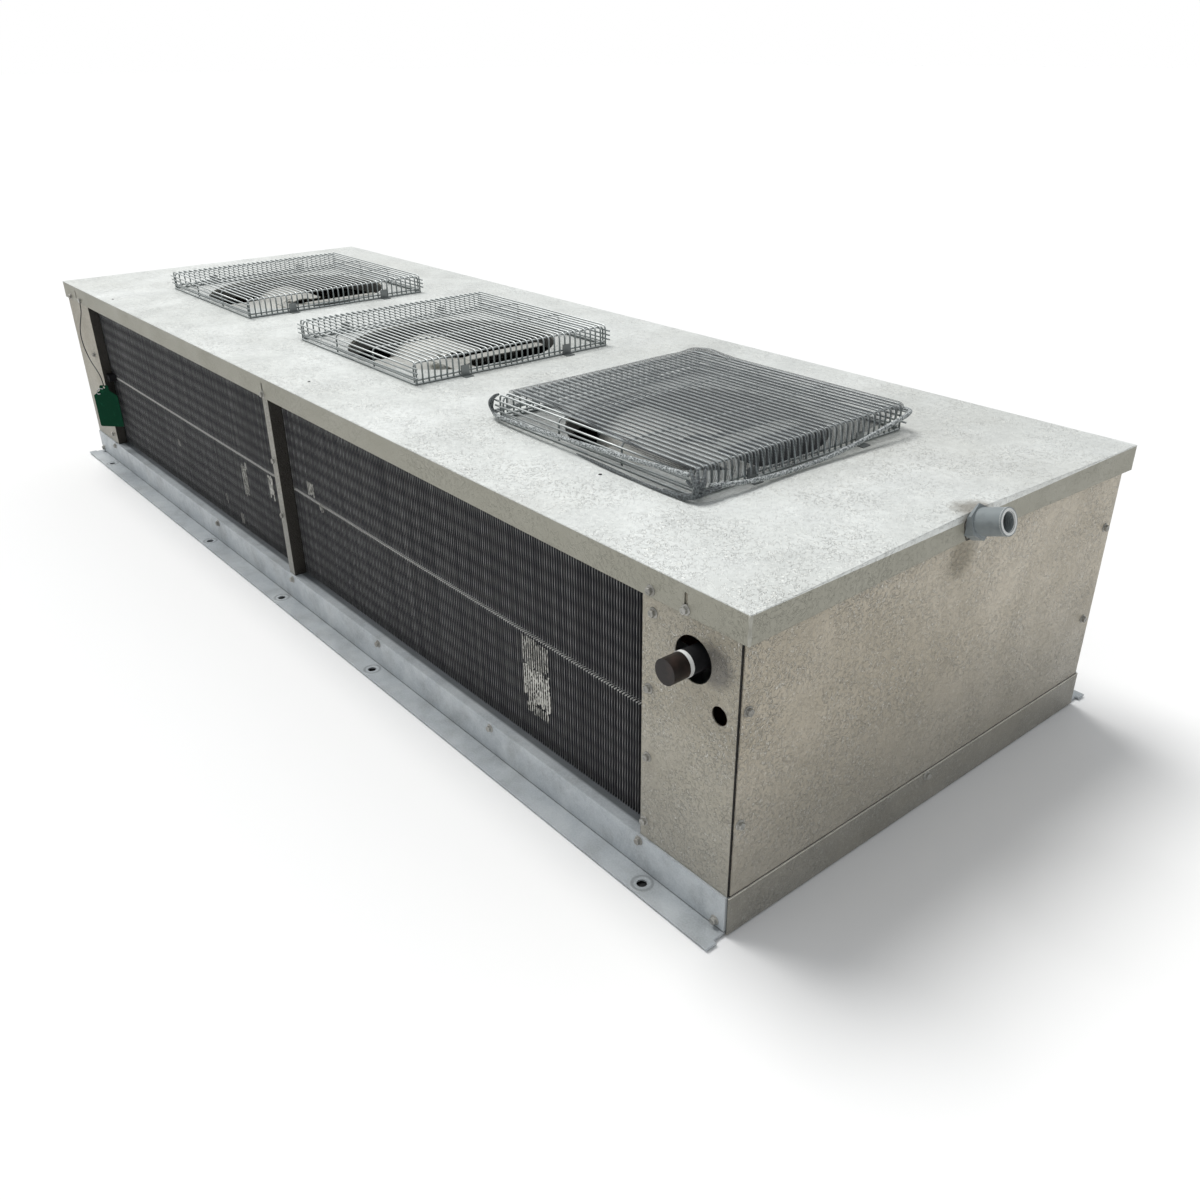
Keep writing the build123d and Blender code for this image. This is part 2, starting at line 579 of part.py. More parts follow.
# ---------------------------------------------------------------- service tag
def tag_screw():
    """Hexagon screw through the pan's rim and the cover plate."""
    rim = -WIDTH / 2
    outline = RegularPolygon(SCREW_HEAD, 6, major_radius=False)
    head = extrude(Plane.XZ.offset(-rim) * Pos(SCREW_X, SCREW_Z) * outline, SCREW_HEAD_HEIGHT)
    return head + bar_y(SCREW_RADIUS, SCREW_X, SCREW_Z, rim, rim + SCREW_LENGTH)


def tag_screw_hole():
    rim = -WIDTH / 2
    return bar_y(SCREW_RADIUS + RUN_CLEARANCE, SCREW_X, SCREW_Z, rim, rim + SCREW_LENGTH)


def tag_cord():
    """Thin cord from under the screw's head to the tag, in straight runs joined by tangent arcs."""
    screw_y = -WIDTH / 2 - SCREW_HEAD_HEIGHT / 2
    head_foot = SCREW_Z - SCREW_HEAD
    points = [Vector(SCREW_X, screw_y, head_foot), Vector(SCREW_X, screw_y, head_foot - CORD_DROP)]
    for aside, out, down in CORD_COURSE:
        points.append(Vector(SCREW_X + aside, -WIDTH / 2 - out, SCREW_Z - down))
    points += [Vector(TAG_X, TAG_Y, TAG_TOP + CORD_DROP), Vector(TAG_X, TAG_Y, TAG_TOP)]
    radii = []
    for before, corner, after in zip(points, points[1:], points[2:]):
        turn = (corner - before).get_angle(after - corner)
        shorter = min((corner - before).length, (after - corner).length)
        radii.append(0.45 * shorter / math.tan(math.radians(turn / 2)))
    print("cord radii", [round(r, 1) for r in radii])
    path = FilletPolyline(*points, radius=radii)
    print("cord length", round(path.length, 1))
    return sweep(Plane(path @ 0, z_dir=path % 0) * RegularPolygon(CORD_RADIUS, 6), path=path)


def service_tag():
    """Bottle-shaped tag, turned about its cord."""
    w, n, shoulder = TAG_WIDTH / 2, TAG_NECK, TAG_HEIGHT - TAG_BODY_HEIGHT
    right = [(w, -TAG_HEIGHT), (w, -shoulder), (n, -shoulder / 2), (n, 0)]
    corners = right + [(-px, pz) for px, pz in reversed(right)]
    outline = make_face(FilletPolyline(*corners, radius=TAG_CORNER, close=True))
    outline -= Pos(0, -2 * TAG_EYE) * Circle(TAG_EYE)
    card = extrude(Plane.XZ * outline, TAG_SHEET / 2, both=True)
    return Pos(TAG_X, TAG_Y, TAG_TOP) * Rot(0, 0, TAG_TURN) * card


NODES = {
    "drain_pan": drain_pan(),
    "drain_nut": drain_nut(),
    "drain_fitting": drain_fitting(),
    "end_panel_right": end_panel_right(),
    "end_panel_left": other_end(end_panel_right()),
    "end_channel_right": end_channel_right(),
    "end_channel_left": other_end(end_channel_right()),
    "cover_plate_front_right": cover_plate_connections(),
    "cover_plate_front_left": other_end(cover_plate_right_front()) - tag_screw_hole(),
    "cover_plate_back_right": other_side(cover_plate_right_front()),
    "cover_plate_back_left": other_end(other_side(cover_plate_right_front())),
    "deck": deck(),
    "mounting_rail_front": mounting_rail_front(),
    "mounting_rail_back": other_side(mounting_rail_front()),
    "coil_guide_front": coil_guide_front(),
    "coil_guide_back": other_side(coil_guide_front()),
    "divider_front": divider_front(),
    "divider_back": other_side(divider_front()),
    "fin_pack_front_lower": fin_pack_front(0),
    "fin_pack_front_upper": fin_pack_front(1),
    "fin_pack_back_lower": other_side(fin_pack_front(0)),
    "fin_pack_back_upper": other_side(fin_pack_front(1)),
    "tube_sheet_front_right": tube_sheet_right_front(),
    "tube_sheet_front_left": other_end(tube_sheet_right_front()),
    "tube_sheet_back_right": other_side(tube_sheet_right_front()),
    "tube_sheet_back_left": other_end(other_side(tube_sheet_right_front())),
    "suction_header": suction_header(),
    "stub_sleeve": stub_sleeve(),
    "stub_band": stub_band(),
    "stub_cap": stub_cap(),
    "seam_foam": seam_foam(),
    "guard_clips": guard_clips(),
    "net_cover": net_cover(*FANS[-1]),
    "net_hem": net_hem(*FANS[-1]),
    "tag_screw": tag_screw(),
    "tag_cord": tag_cord(),
    "service_tag": service_tag(),
    "net_gather": net_gather(*FANS[-1]),
}
for number, (fan_x, fan_y) in enumerate(FANS, start=1):
    NODES[f"fan_{number}"] = fan(fan_x, fan_y)
    NODES[f"motor_shaft_{number}"] = motor_shaft(fan_x, fan_y)
    NODES[f"motor_{number}"] = motor(fan_x, fan_y)
    NODES[f"motor_bracket_{number}"] = motor_bracket(fan_x, fan_y)
    NODES[f"guard_{number}"] = guard(fan_x, fan_y)

os.makedirs("parts", exist_ok=True)
for name, shape in NODES.items():
    export_step(shape, f"parts/{name}.step")
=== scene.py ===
import bmesh
import bpy
import json
import math
import numpy as np
from mathutils import Euler, Matrix, Vector


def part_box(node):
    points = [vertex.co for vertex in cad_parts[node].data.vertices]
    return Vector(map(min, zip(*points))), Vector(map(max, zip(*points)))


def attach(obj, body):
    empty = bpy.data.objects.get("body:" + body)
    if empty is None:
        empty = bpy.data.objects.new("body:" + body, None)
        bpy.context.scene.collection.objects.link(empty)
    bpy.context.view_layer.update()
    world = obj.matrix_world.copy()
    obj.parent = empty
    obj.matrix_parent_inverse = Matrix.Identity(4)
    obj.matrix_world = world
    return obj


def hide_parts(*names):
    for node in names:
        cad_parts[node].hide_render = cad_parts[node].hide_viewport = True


# Walk-in unit cooler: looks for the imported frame. Metres throughout; MM turns millimetres into metres.
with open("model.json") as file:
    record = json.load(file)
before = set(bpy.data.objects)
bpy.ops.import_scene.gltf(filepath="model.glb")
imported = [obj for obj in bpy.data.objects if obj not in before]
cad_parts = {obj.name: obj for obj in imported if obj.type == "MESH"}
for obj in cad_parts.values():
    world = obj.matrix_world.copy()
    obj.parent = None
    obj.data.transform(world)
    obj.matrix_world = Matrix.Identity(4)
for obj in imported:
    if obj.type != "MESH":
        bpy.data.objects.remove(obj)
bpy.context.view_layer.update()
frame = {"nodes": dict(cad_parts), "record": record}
NODES = frame["nodes"]
MOUNTS = {mount["name"]: mount for mount in frame["record"]["mounts"]}
MM = 0.001
RNG = np.random.default_rng(11)

# ---------------------------------------------------------------- places read from the frame
PAN_LOW, PAN_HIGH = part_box("drain_pan")
PAN_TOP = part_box("guard_1")[0].z                      # flat of the drain pan
RAIL_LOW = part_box("mounting_rail_front")[0]
RAIL_SHEET = 2.5 * MM
COVER_LOW, COVER_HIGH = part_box("cover_plate_front_right")
PANEL_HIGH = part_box("end_panel_right")[1]
CHANNEL_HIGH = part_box("end_channel_right")[1]
DIVIDER_LOW, DIVIDER_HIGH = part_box("divider_front")
FINS_LOW, FINS_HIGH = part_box("fin_pack_front_lower")
FANS = [(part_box(f"fan_{i}")[0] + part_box(f"fan_{i}")[1]) / 2 for i in (1, 2, 3)]
BODY = "cabinet"

# ---------------------------------------------------------------- sizes of what is made here (m)
WIRE_RADIUS = 1.45 * MM
BASE_WIRE_RADIUS = 1.9 * MM
LONG_WIRES = 35
CROSS_WIRES = 4
WIRE_BEND = 8 * MM
BEND_STEPS = 4
WIRE_LEAN = 0.25 * MM          # how far a long wire's feet stray
WIRE_OVERRUN = 7 * MM          # side wires run past the basket's corners
SIDE_WIRES = (0.3, 0.52, 0.74)  # levels of the side wires, as shares of the basket's height
BASE_INSET = 2.4 * MM          # upper base wire, inside the lower one
FIN_PITCH = 4.87 * MM
FIN_SHEET = 0.5 * MM
FIN_WAVES = 7                  # ripples of a fin's edge, over the height of one slab
FIN_RIPPLE = 0.5 * MM          # in and out
FIN_SWING = 0.8 * MM           # from side to side
FIN_LEAN = 0.12 * MM           # how far a fin strays from its place
TUBE_RADIUS = 5 * MM
TUBE_ROWS = 3
TUBE_LEVELS = 6                # tubes in a row, over the height of one slab
MOUTH_RADIUS = 187 * MM        # a fan's opening in the pan
LIP_BEND = 7 * MM
LIP_HEIGHT = 30 * MM
LIP_SKIN = 0.4 * MM            # the lip lies this far over the pan's own sheet
NET_DROP = 40 * MM             # skirt at the sides and the back
NET_FRONT = 13 * MM            # skirt at the front
NET_CORNER = 12 * MM
NET_BEND = 4 * MM
NET_LIFT = 0.7 * MM            # net above the wires
NET_DIP = 0.9 * MM             # net sinks between two wires
NET_FOLD = 1.6 * MM            # folds of the skirts, in and out
NET_FOLDS = 78                 # all round
NET_FLARE = 0.22               # skirts lean outwards
NET_EXTRA = 0.35               # more cloth over the corners, as a share of the drop
NET_MESH = 2.3 * MM
HEM_RADIUS = 3.3 * MM
HEM_STRANDS = 4
HEM_TWIST = 15 * MM            # one turn of a strand
CORD_RADIUS = 1.1 * MM
TAG_TURN = 43                  # degrees that the tag is turned about Z


# ---------------------------------------------------------------- node materials
class Finish:
    """A material made of nodes round one Principled shader. place is the point in the shared frame."""

    def __init__(self, name, **sockets):
        self.material = bpy.data.materials.new(name)
        self.material.use_nodes = True
        self.tree = self.material.node_tree
        self.shader = self.tree.nodes["Principled BSDF"]
        self.fill(self.shader, sockets)
        self.place = self.add("TexCoord").outputs["Object"]

    def fill(self, node, sockets):
        for key, value in sockets.items():
            socket = node.inputs[key.replace("_", " ")]
            if isinstance(value, bpy.types.NodeSocket):
                self.tree.links.new(value, socket)
            else:
                socket.default_value = value

    def put(self, **sockets):
        self.fill(self.shader, sockets)

    def add(self, kind, settings=None, **sockets):
        node = self.tree.nodes.new("ShaderNode" + kind)
        for key, value in (settings or {}).items():
            setattr(node, key, value)
        self.fill(node, sockets)
        return node

    def wire(self, node, values):
        """Fills a node's first inputs by position, for nodes whose inputs share a name."""
        for socket, value in zip(node.inputs, values):
            if isinstance(value, bpy.types.NodeSocket):
                self.tree.links.new(value, socket)
            else:
                socket.default_value = value
        return node.outputs[0]

    def math(self, operation, *values):
        return self.wire(self.add("Math", {"operation": operation}), values)

    def vector(self, operation, *values):
        node = self.add("VectorMath", {"operation": operation})
        self.wire(node, values)
        return node.outputs["Value" if operation == "DISTANCE" else "Vector"]

    def coordinate(self, axis):
        """The place along one axis."""
        return self.add("SeparateXYZ", Vector=self.place).outputs[axis]

    def noise(self, scale, detail=3.0, distortion=0.0, vector=None):
        sockets = {"Vector": vector or self.place, "Scale": scale, "Detail": detail, "Distortion": distortion}
        return self.add("TexNoise", **sockets).outputs[0]

    def stretched(self, x, y, z):
        """The place with each axis scaled, for streaks."""
        return self.vector("MULTIPLY", self.place, (x, y, z))

    def spread(self, value, low, high, to_low=0.0, to_high=1.0):
        node = self.add("MapRange", Value=value, From_Min=low, From_Max=high, To_Min=to_low, To_Max=to_high)
        return node.outputs[0]

    def mix(self, factor, first, second):
        node = self.add("Mix", {"data_type": "RGBA"})
        for index, value in ((0, factor), (6, first), (7, second)):
            if isinstance(value, bpy.types.NodeSocket):
                self.tree.links.new(value, node.inputs[index])
            else:
                node.inputs[index].default_value = value
        return node.outputs[2]

    def tint(self, colour, share, factor, over):
        """A colour laid over another, as a share of a factor from 0 to 1."""
        return self.mix(self.math("MULTIPLY", factor, share), colour, over)

    def line(self, value, centre):
        """1 where a value is within 0.005 of a centre, falling to 0 at 0.06 from it."""
        return self.spread(self.math("ABSOLUTE", self.math("SUBTRACT", value, centre)), 0.005, 0.06, 1.0, 0.0)

    def spot(self, centre, radius):
        """1 at a place on the object, falling to 0 near the radius, with a ragged edge."""
        far = self.vector("DISTANCE", self.place, tuple(centre))
        torn = self.math("MULTIPLY_ADD", self.noise(120.0, 4.0), 0.5 * radius, far)
        return self.spread(torn, 0.9 * radius, 1.4 * radius, 1.0, 0.0)

    def band(self, axis, low, high, soft=0.15 * MM):
        """1 between two distances from the middle, along one axis."""
        far = self.math("ABSOLUTE", self.coordinate(axis))
        over = self.spread(far, low - soft, low + soft)
        return self.math("MULTIPLY", over, self.spread(far, high - soft, high + soft, 1.0, 0.0))

    def relief(self, height, depth, strength=1.0, edge=0.0):
        """Bump of a depth in metres, on edges rounded by a radius."""
        bump = self.add("Bump", Height=height, Distance=depth, Strength=strength)
        if edge:
            rounded = self.add("Bevel", {"samples": 4}, Radius=edge)
            self.fill(bump, {"Normal": rounded.outputs[0]})
        self.put(Normal=bump.outputs[0])


def rgb(red, green, blue):
    """A display colour, 0 to 255, as a linear colour with alpha."""
    return tuple(((c / 255 + 0.055) / 1.055) ** 2.4 for c in (red, green, blue)) + (1.0,)


def darker(colour, share):
    return tuple(share * c for c in colour[:3]) + (1.0,)


def stucco(name, light, dark, painted_crinkle_light, depth, marks=(), painted_light_bands=(), fine=340.0):
    """Embossed aluminium sheet: short slanted crinkles a few millimetres long, with a painted highlight along
    their ridges and painted shade in their troughs and pits, cloudy sheen, handling marks and grey painted
    shade towards its foot. marks are stains round a place; the bands are painted shade or a painted highlight
    over a stretch of one axis, such as a joint or a rim; the number after the two colours is how strong the
    crinkles' painted highlight and shade are, and fine is how many there are."""
    f = Finish(name, Metallic=0.3)
    slant = f.add("Mapping", {"vector_type": "TEXTURE"}, Vector=f.place)
    f.fill(slant, {"Rotation": (0.8, 0.0, 0.6), "Scale": (1.0, 2.0, 1.0)})
    fold = f.math("SUBTRACT", f.noise(fine, 1.2, 0.5, slant.outputs[0]), 0.5)
    broken = f.spread(f.noise(0.7 * fine, 1.0), 0.36, 0.54)
    worn = f.spread(f.noise(14.0, 3.0), 0.35, 0.62, 0.35, 1.0)
    short = f.math("MULTIPLY", broken, worn)
    # ridges get a painted highlight and troughs painted shade; both masks also shape the bump
    ridge_and_painted_highlight = f.math("MULTIPLY", f.line(fold, 0.035), short)
    trough_and_painted_shade = f.math("MULTIPLY", f.line(fold, -0.035), short)
    colour = f.mix(f.spread(f.noise(5.0, 5.0, 0.4), 0.35, 0.68), dark, light)
    colour = f.tint(colour, 1.4 * painted_crinkle_light, ridge_and_painted_highlight, rgb(252, 252, 246))
    colour = f.tint(colour, painted_crinkle_light, trough_and_painted_shade, darker(dark, 0.5))
    # painted shade in small pits of the sheet
    painted_pit_shade = f.spread(f.noise(95.0, 2.0, 0.5), 0.42, 0.58)
    colour = f.tint(colour, 0.28 * painted_crinkle_light, painted_pit_shade, darker(dark, 0.6))
    # grey painted shade, darker towards the sheet's foot
    colour = f.mix(f.spread(f.coordinate("Z"), 0.02, 0.24, 0.4, 0.0), colour, rgb(122, 127, 129))
    streak = f.spread(f.noise(3.0, 4.0, vector=f.stretched(1.0, 1.0, 7.0)), 0.52, 0.78)
    colour = f.tint(colour, 0.2, streak, rgb(150, 143, 124))
    for centre, radius, stain in marks:
        colour = f.tint(colour, 0.7, f.spot(centre, radius), stain)
    # painted shade or a painted highlight over a stretch of one axis, at joints, rims and edges
    for axis, low, high, shade in painted_light_bands:
        colour = f.mix(f.band(axis, low, high), colour, shade)
    f.put(Base_Color=colour, Roughness=f.spread(f.noise(16.0, 4.0), 0.3, 0.7, 0.4, 0.55))
    f.relief(f.math("SUBTRACT", ridge_and_painted_highlight, trough_and_painted_shade), depth, 1.0, 1.6 * MM)
    return f.material


def galvanised(name, light, dark):
    """Zinc coated steel: dull crystals about 8 mm across, white bloom, dirt, and painted shade in the bend of
    the rails and on the ledge under the coil.
    """
    f = Finish(name, Metallic=0.12)
    crystal = f.add("TexVoronoi", Vector=f.place, Scale=115.0)
    shade = f.spread(f.add("SeparateColor", Color=crystal.outputs["Color"]).outputs[0], 0.0, 1.0)
    bloom = f.spread(f.noise(14.0, 6.0, 0.8), 0.4, 0.72)
    grime = f.spread(f.noise(22.0, 6.0), 0.48, 0.72)
    grain = f.spread(f.noise(420.0, 3.0), 0.38, 0.66)
    # painted shade in the bend between a rail's flange and its web
    bend = f.band("Z", RAIL_SHEET + 0.2 * MM, RAIL_SHEET + 2.2 * MM, 0.4 * MM)
    # painted shade on the ledge in front of and under the coil
    inside = f.band("Y", -1.0, 10 * MM - FINS_LOW.y, 2 * MM)
    below = f.band("Z", -1.0, FINS_LOW.z + 3 * MM, 3 * MM)
    colour = f.tint(light, 0.35, shade, dark)
    colour = f.tint(colour, 0.4, bloom, rgb(222, 226, 226))
    colour = f.tint(colour, 0.45, grime, rgb(122, 125, 124))
    colour = f.tint(colour, 0.3, grain, rgb(214, 219, 222))
    colour = f.tint(colour, 0.65, bend, rgb(70, 72, 72))
    colour = f.tint(colour, 0.8, f.math("MULTIPLY", inside, below), rgb(70, 74, 78))
    f.put(Base_Color=colour, Roughness=f.spread(shade, 0.0, 1.0, 0.36, 0.55))
    f.relief(f.noise(160.0, 3.0), 0.15 * MM, 0.5, 1.2 * MM)
    return f.material


def fin_metal(name):
    """Dusty fins: a painted highlight on their outer edges, soft painted light and shade in bands across
    where they ripple, and a painted highlight on the top along the seam.
    """
    f = Finish(name, Metallic=0.2, Roughness=0.5)
    per_metre = 2 * math.pi * FIN_WAVES / (FINS_HIGH.z - FINS_LOW.z)
    # painted light and shade in soft bands across the fins, where they ripple
    wave = f.math("SINE", f.math("MULTIPLY", f.math("SUBTRACT", f.coordinate("Z"), FINS_LOW.z), per_metre))
    patchy = f.math("MULTIPLY", f.spread(f.noise(3.0, 5.0), 0.35, 0.62), 0.4)
    dust = f.spread(f.noise(30.0, 4.0, vector=f.stretched(6.0, 1.0, 0.7)), 0.45, 0.75)
    colour = f.mix(f.math("MULTIPLY", f.spread(wave, -0.3, 1.0), patchy), rgb(64, 65, 69), rgb(94, 94, 96))
    colour = f.tint(colour, 0.3, dust, rgb(114, 113, 109))
    # painted highlight on the fins' outer edges
    edge = f.band("Y", -FINS_LOW.y - FIN_RIPPLE, -FINS_LOW.y + MM, 0.4 * MM)
    single = f.spread(f.noise(1.0, 2.0, vector=f.stretched(260.0, 0.0, 1.5)), 0.38, 0.68, 0.35, 1.0)
    colour = f.mix(f.math("MULTIPLY", edge, single), colour, rgb(192, 192, 191))
    # painted highlight on the fins' tops along the seam
    seam = f.band("Z", FINS_HIGH.z - 2.0 * MM, FINS_HIGH.z + MM, 0.3 * MM)
    f.put(Base_Color=f.mix(seam, colour, rgb(244, 244, 240)))
    f.relief(f.noise(600.0, 2.0), 0.1 * MM, 0.4)
    return f.material


def bright_metal(name, colour, worn, roughness=0.3, metallic=0.8, grain=260.0):
    """Bare or plated metal with faint rolling marks and dull patches."""
    f = Finish(name, Metallic=metallic)
    rolled = f.noise(grain, 3.0, vector=f.stretched(0.15, 1.0, 1.0))
    patch = f.spread(f.noise(22.0, 5.0), 0.42, 0.7)
    f.put(Base_Color=f.tint(colour, 0.65, patch, worn))
    f.put(Roughness=f.spread(patch, 0.0, 1.0, roughness, roughness + 0.25))
    f.relief(rolled, 0.06 * MM, 0.35, 0.5 * MM)
    return f.material


def zinc_wire(name):
    """Plated wire: painted light on its upper side and painted shade where it faces sideways and down, with
    dull patches.
    """
    f = Finish(name, Metallic=0.3, Roughness=0.42)
    # painted light on the wire's upper side, painted shade on its sides and underside
    painted_top_light = f.add("SeparateXYZ", Vector=f.add("NewGeometry").outputs["Normal"]).outputs["Z"]
    patch = f.spread(f.noise(60.0, 4.0), 0.35, 0.7)
    colour = f.mix(f.spread(painted_top_light, 0.0, 0.75), rgb(134, 141, 141), rgb(246, 250, 249))
    f.put(Base_Color=f.tint(colour, 0.3, patch, rgb(150, 156, 155)))
    f.relief(f.noise(500.0, 3.0), 0.05 * MM, 0.3)
    return f.material


def plastic(name, colour, worn, roughness=0.4, grain=0.08 * MM):
    """Moulded plastic with a fine grain, dust and rubbed edges."""
    f = Finish(name, Roughness=roughness, Specular_IOR_Level=0.25)
    rubbed = f.spread(f.noise(55.0, 5.0), 0.48, 0.75)
    f.put(Base_Color=f.tint(colour, 0.6, rubbed, worn))
    f.relief(f.noise(900.0, 2.0), grain, 0.5, 0.6 * MM)
    return f.material


def net_cloth(name):
    """Fine knitted net: threads both ways with holes between them, from the sheet's own flat coordinates. It
    has a painted highlight where it lies on the third guard's long wires and painted shade between them."""
    f = Finish(name, Roughness=0.75, Sheen_Weight=0.3)
    flat = f.add("SeparateXYZ", Vector=f.add("UVMap", {"uv_map": "flat"}).outputs[0])
    across = f.math("SINE", f.math("MULTIPLY", flat.outputs["X"], math.pi / NET_MESH))
    along = f.math("SINE", f.math("MULTIPLY", flat.outputs["Y"], math.pi / NET_MESH))
    hole = f.math("MINIMUM", f.math("ABSOLUTE", across), f.math("ABSOLUTE", along))
    thread = f.spread(hole, 0.36, 0.46, 1.0, 0.0)
    tone = f.spread(f.noise(30.0, 4.0), 0.35, 0.7)
    low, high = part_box("guard_3")
    first, last = low.y + 3 * WIRE_RADIUS, high.y - 3 * WIRE_RADIUS
    wires = f.math("SUBTRACT", f.coordinate("Y"), first)
    # painted highlight over the long wires and painted shade between them
    painted_wire_stripes = f.math("COSINE", f.math("MULTIPLY", wires, 2 * math.pi * (LONG_WIRES - 1) / (last - first)))
    colour = f.mix(f.spread(painted_wire_stripes, 0.3, 0.95), rgb(34, 38, 42), rgb(170, 178, 181))
    f.put(Base_Color=f.tint(colour, 0.25, tone, rgb(104, 111, 114)), Alpha=thread)
    f.relief(thread, 0.3 * MM, 0.6)
    return f.material


def rope_cloth(name, light, dark):
    """Braided elastic: light and dark yarns."""
    f = Finish(name, Roughness=0.8, Sheen_Weight=0.3)
    yarn = f.spread(f.noise(420.0, 3.0), 0.4, 0.62)
    f.put(Base_Color=f.mix(yarn, dark, light))
    f.relief(f.noise(1500.0, 2.0), 0.25 * MM, 0.7)
    return f.material


def tag_card(name):
    """Dark green card, scuffed and a little glossy."""
    f = Finish(name, Roughness=0.45, Specular_IOR_Level=0.06)
    scuff = f.spread(f.noise(90.0, 6.0, 0.5), 0.56, 0.74)
    f.put(Base_Color=f.tint(rgb(0, 58, 38), 0.5, scuff, rgb(16, 86, 60)))
    f.relief(f.noise(300.0, 3.0), 0.1 * MM, 0.4, 0.4 * MM)
    return f.material


# ---------------------------------------------------------------- meshes
class Build:
    """Vertices and faces of one piece."""

    def __init__(self):
        self.verts, self.faces = [], []

    def add(self, verts, faces):
        base = len(self.verts)
        self.verts += [tuple(v) for v in verts]
        self.faces += [tuple(i + base for i in face) for face in faces]

    def tube(self, path, radius, sides=8):
        """A round bar along a path, closed at both ends. radius is one number, or one for each point."""
        points = np.array([tuple(p) for p in path], float)
        radii = np.broadcast_to(np.array(radius, float), (len(points),))
        ahead = np.gradient(points, axis=0)
        ahead /= np.linalg.norm(ahead, axis=1)[:, None]
        side = np.cross(ahead[0], (0.0, 0.0, 1.0) if abs(ahead[0][2]) < 0.9 else (0.0, 1.0, 0.0))
        verts = []
        for point, direction, r in zip(points, ahead, radii):
            side = side - direction * (side @ direction)
            side = side / np.linalg.norm(side)
            up = np.cross(direction, side)
            for k in range(sides):
                turn = 2 * math.pi * k / sides
                verts.append(point + r * (side * math.cos(turn) + up * math.sin(turn)))
        self.add(verts, ring_faces(len(points), sides))

    def lathe(self, profile, place, steps=24):
        """A profile of (radius, height) points turned about the local Z of place, with flat ends."""
        verts = []
        for radius, height in profile:
            for k in range(steps):
                turn = 2 * math.pi * k / steps
                verts.append(place @ Vector((radius * math.cos(turn), radius * math.sin(turn), height)))
        self.add(verts, ring_faces(len(profile), steps))

    def drop_caps(self):
        """Takes away the flat ends of turned rings, so that they stay open in the middle."""
        self.faces = [face for face in self.faces if len(face) <= 4]

    def piece(self, name, material, smooth=True, replaces=()):
        mesh = bpy.data.meshes.new(name)
        mesh.from_pydata(self.verts, [], self.faces)
        shell = bmesh.new()
        shell.from_mesh(mesh)
        bmesh.ops.recalc_face_normals(shell, faces=shell.faces)
        shell.to_mesh(mesh)
        shell.free()
        mesh.polygons.foreach_set("use_smooth", [smooth] * len(mesh.polygons))
        return dress(bpy.data.objects.new(name, mesh), material, replaces)


def ring_faces(rings, sides):
    """Quads between rings of points that follow each other, with a cap on the first and the last."""
    faces = [tuple(range(sides)), tuple((rings - 1) * sides + k for k in range(sides))]
    for ring in range(rings - 1):
        for k in range(sides):
            near, far = ring * sides, (ring + 1) * sides
            after = (k + 1) % sides
            faces.append((near + k, near + after, far + after, far + k))
    return faces


def dress(obj, material, replaces=()):
    """Links a new object, gives it its material and slot, and lets it ride on the cabinet."""
    bpy.context.scene.collection.objects.link(obj)
    obj.data.materials.append(material)
    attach(obj, BODY)
    if replaces:
        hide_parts(*replaces)
    return obj


def bent(points, radius):
    """Straight runs through the points, with round bends at the corners."""
    points = [Vector(p) for p in points]
    path = [points[0]]
    for before, corner, after in zip(points, points[1:], points[2:]):
        start = corner + (before - corner).normalized() * radius
        end = corner + (after - corner).normalized() * radius
        for k in range(BEND_STEPS + 1):
            t = k / BEND_STEPS
            path.append((1 - t) ** 2 * start + 2 * t * (1 - t) * corner + t ** 2 * end)
    return path + [points[-1]]


def spline_object(name, route, radius):
    """A NURBS curve with the route as its control points."""
    curve = bpy.data.curves.new(name, "CURVE")
    curve.dimensions = "3D"
    spline = curve.splines.new("NURBS")
    spline.points.add(len(route) - 1)
    for point, place in zip(spline.points, route):
        point.co = (*place, 1.0)
    spline.order_u = 3
    spline.use_endpoint_u = True
    curve.resolution_u = 12
    curve.bevel_depth = radius
    curve.bevel_resolution = 3
    curve.use_fill_caps = True
    return bpy.data.objects.new(name, curve)


def along(route):
    """Points along the smooth line of a route."""
    guide = spline_object("guide", route, 0.0)
    mesh = bpy.data.meshes.new_from_object(guide)
    points = [v.co.copy() for v in mesh.vertices]
    bpy.data.objects.remove(guide)
    bpy.data.meshes.remove(mesh)
    return points


def facing(normal, place):
    """A matrix at a place whose Z points along the normal."""
    turn = Vector((0, 0, 1)).rotation_difference(Vector(normal))
    return Matrix.Translation(place) @ turn.to_matrix().to_4x4()


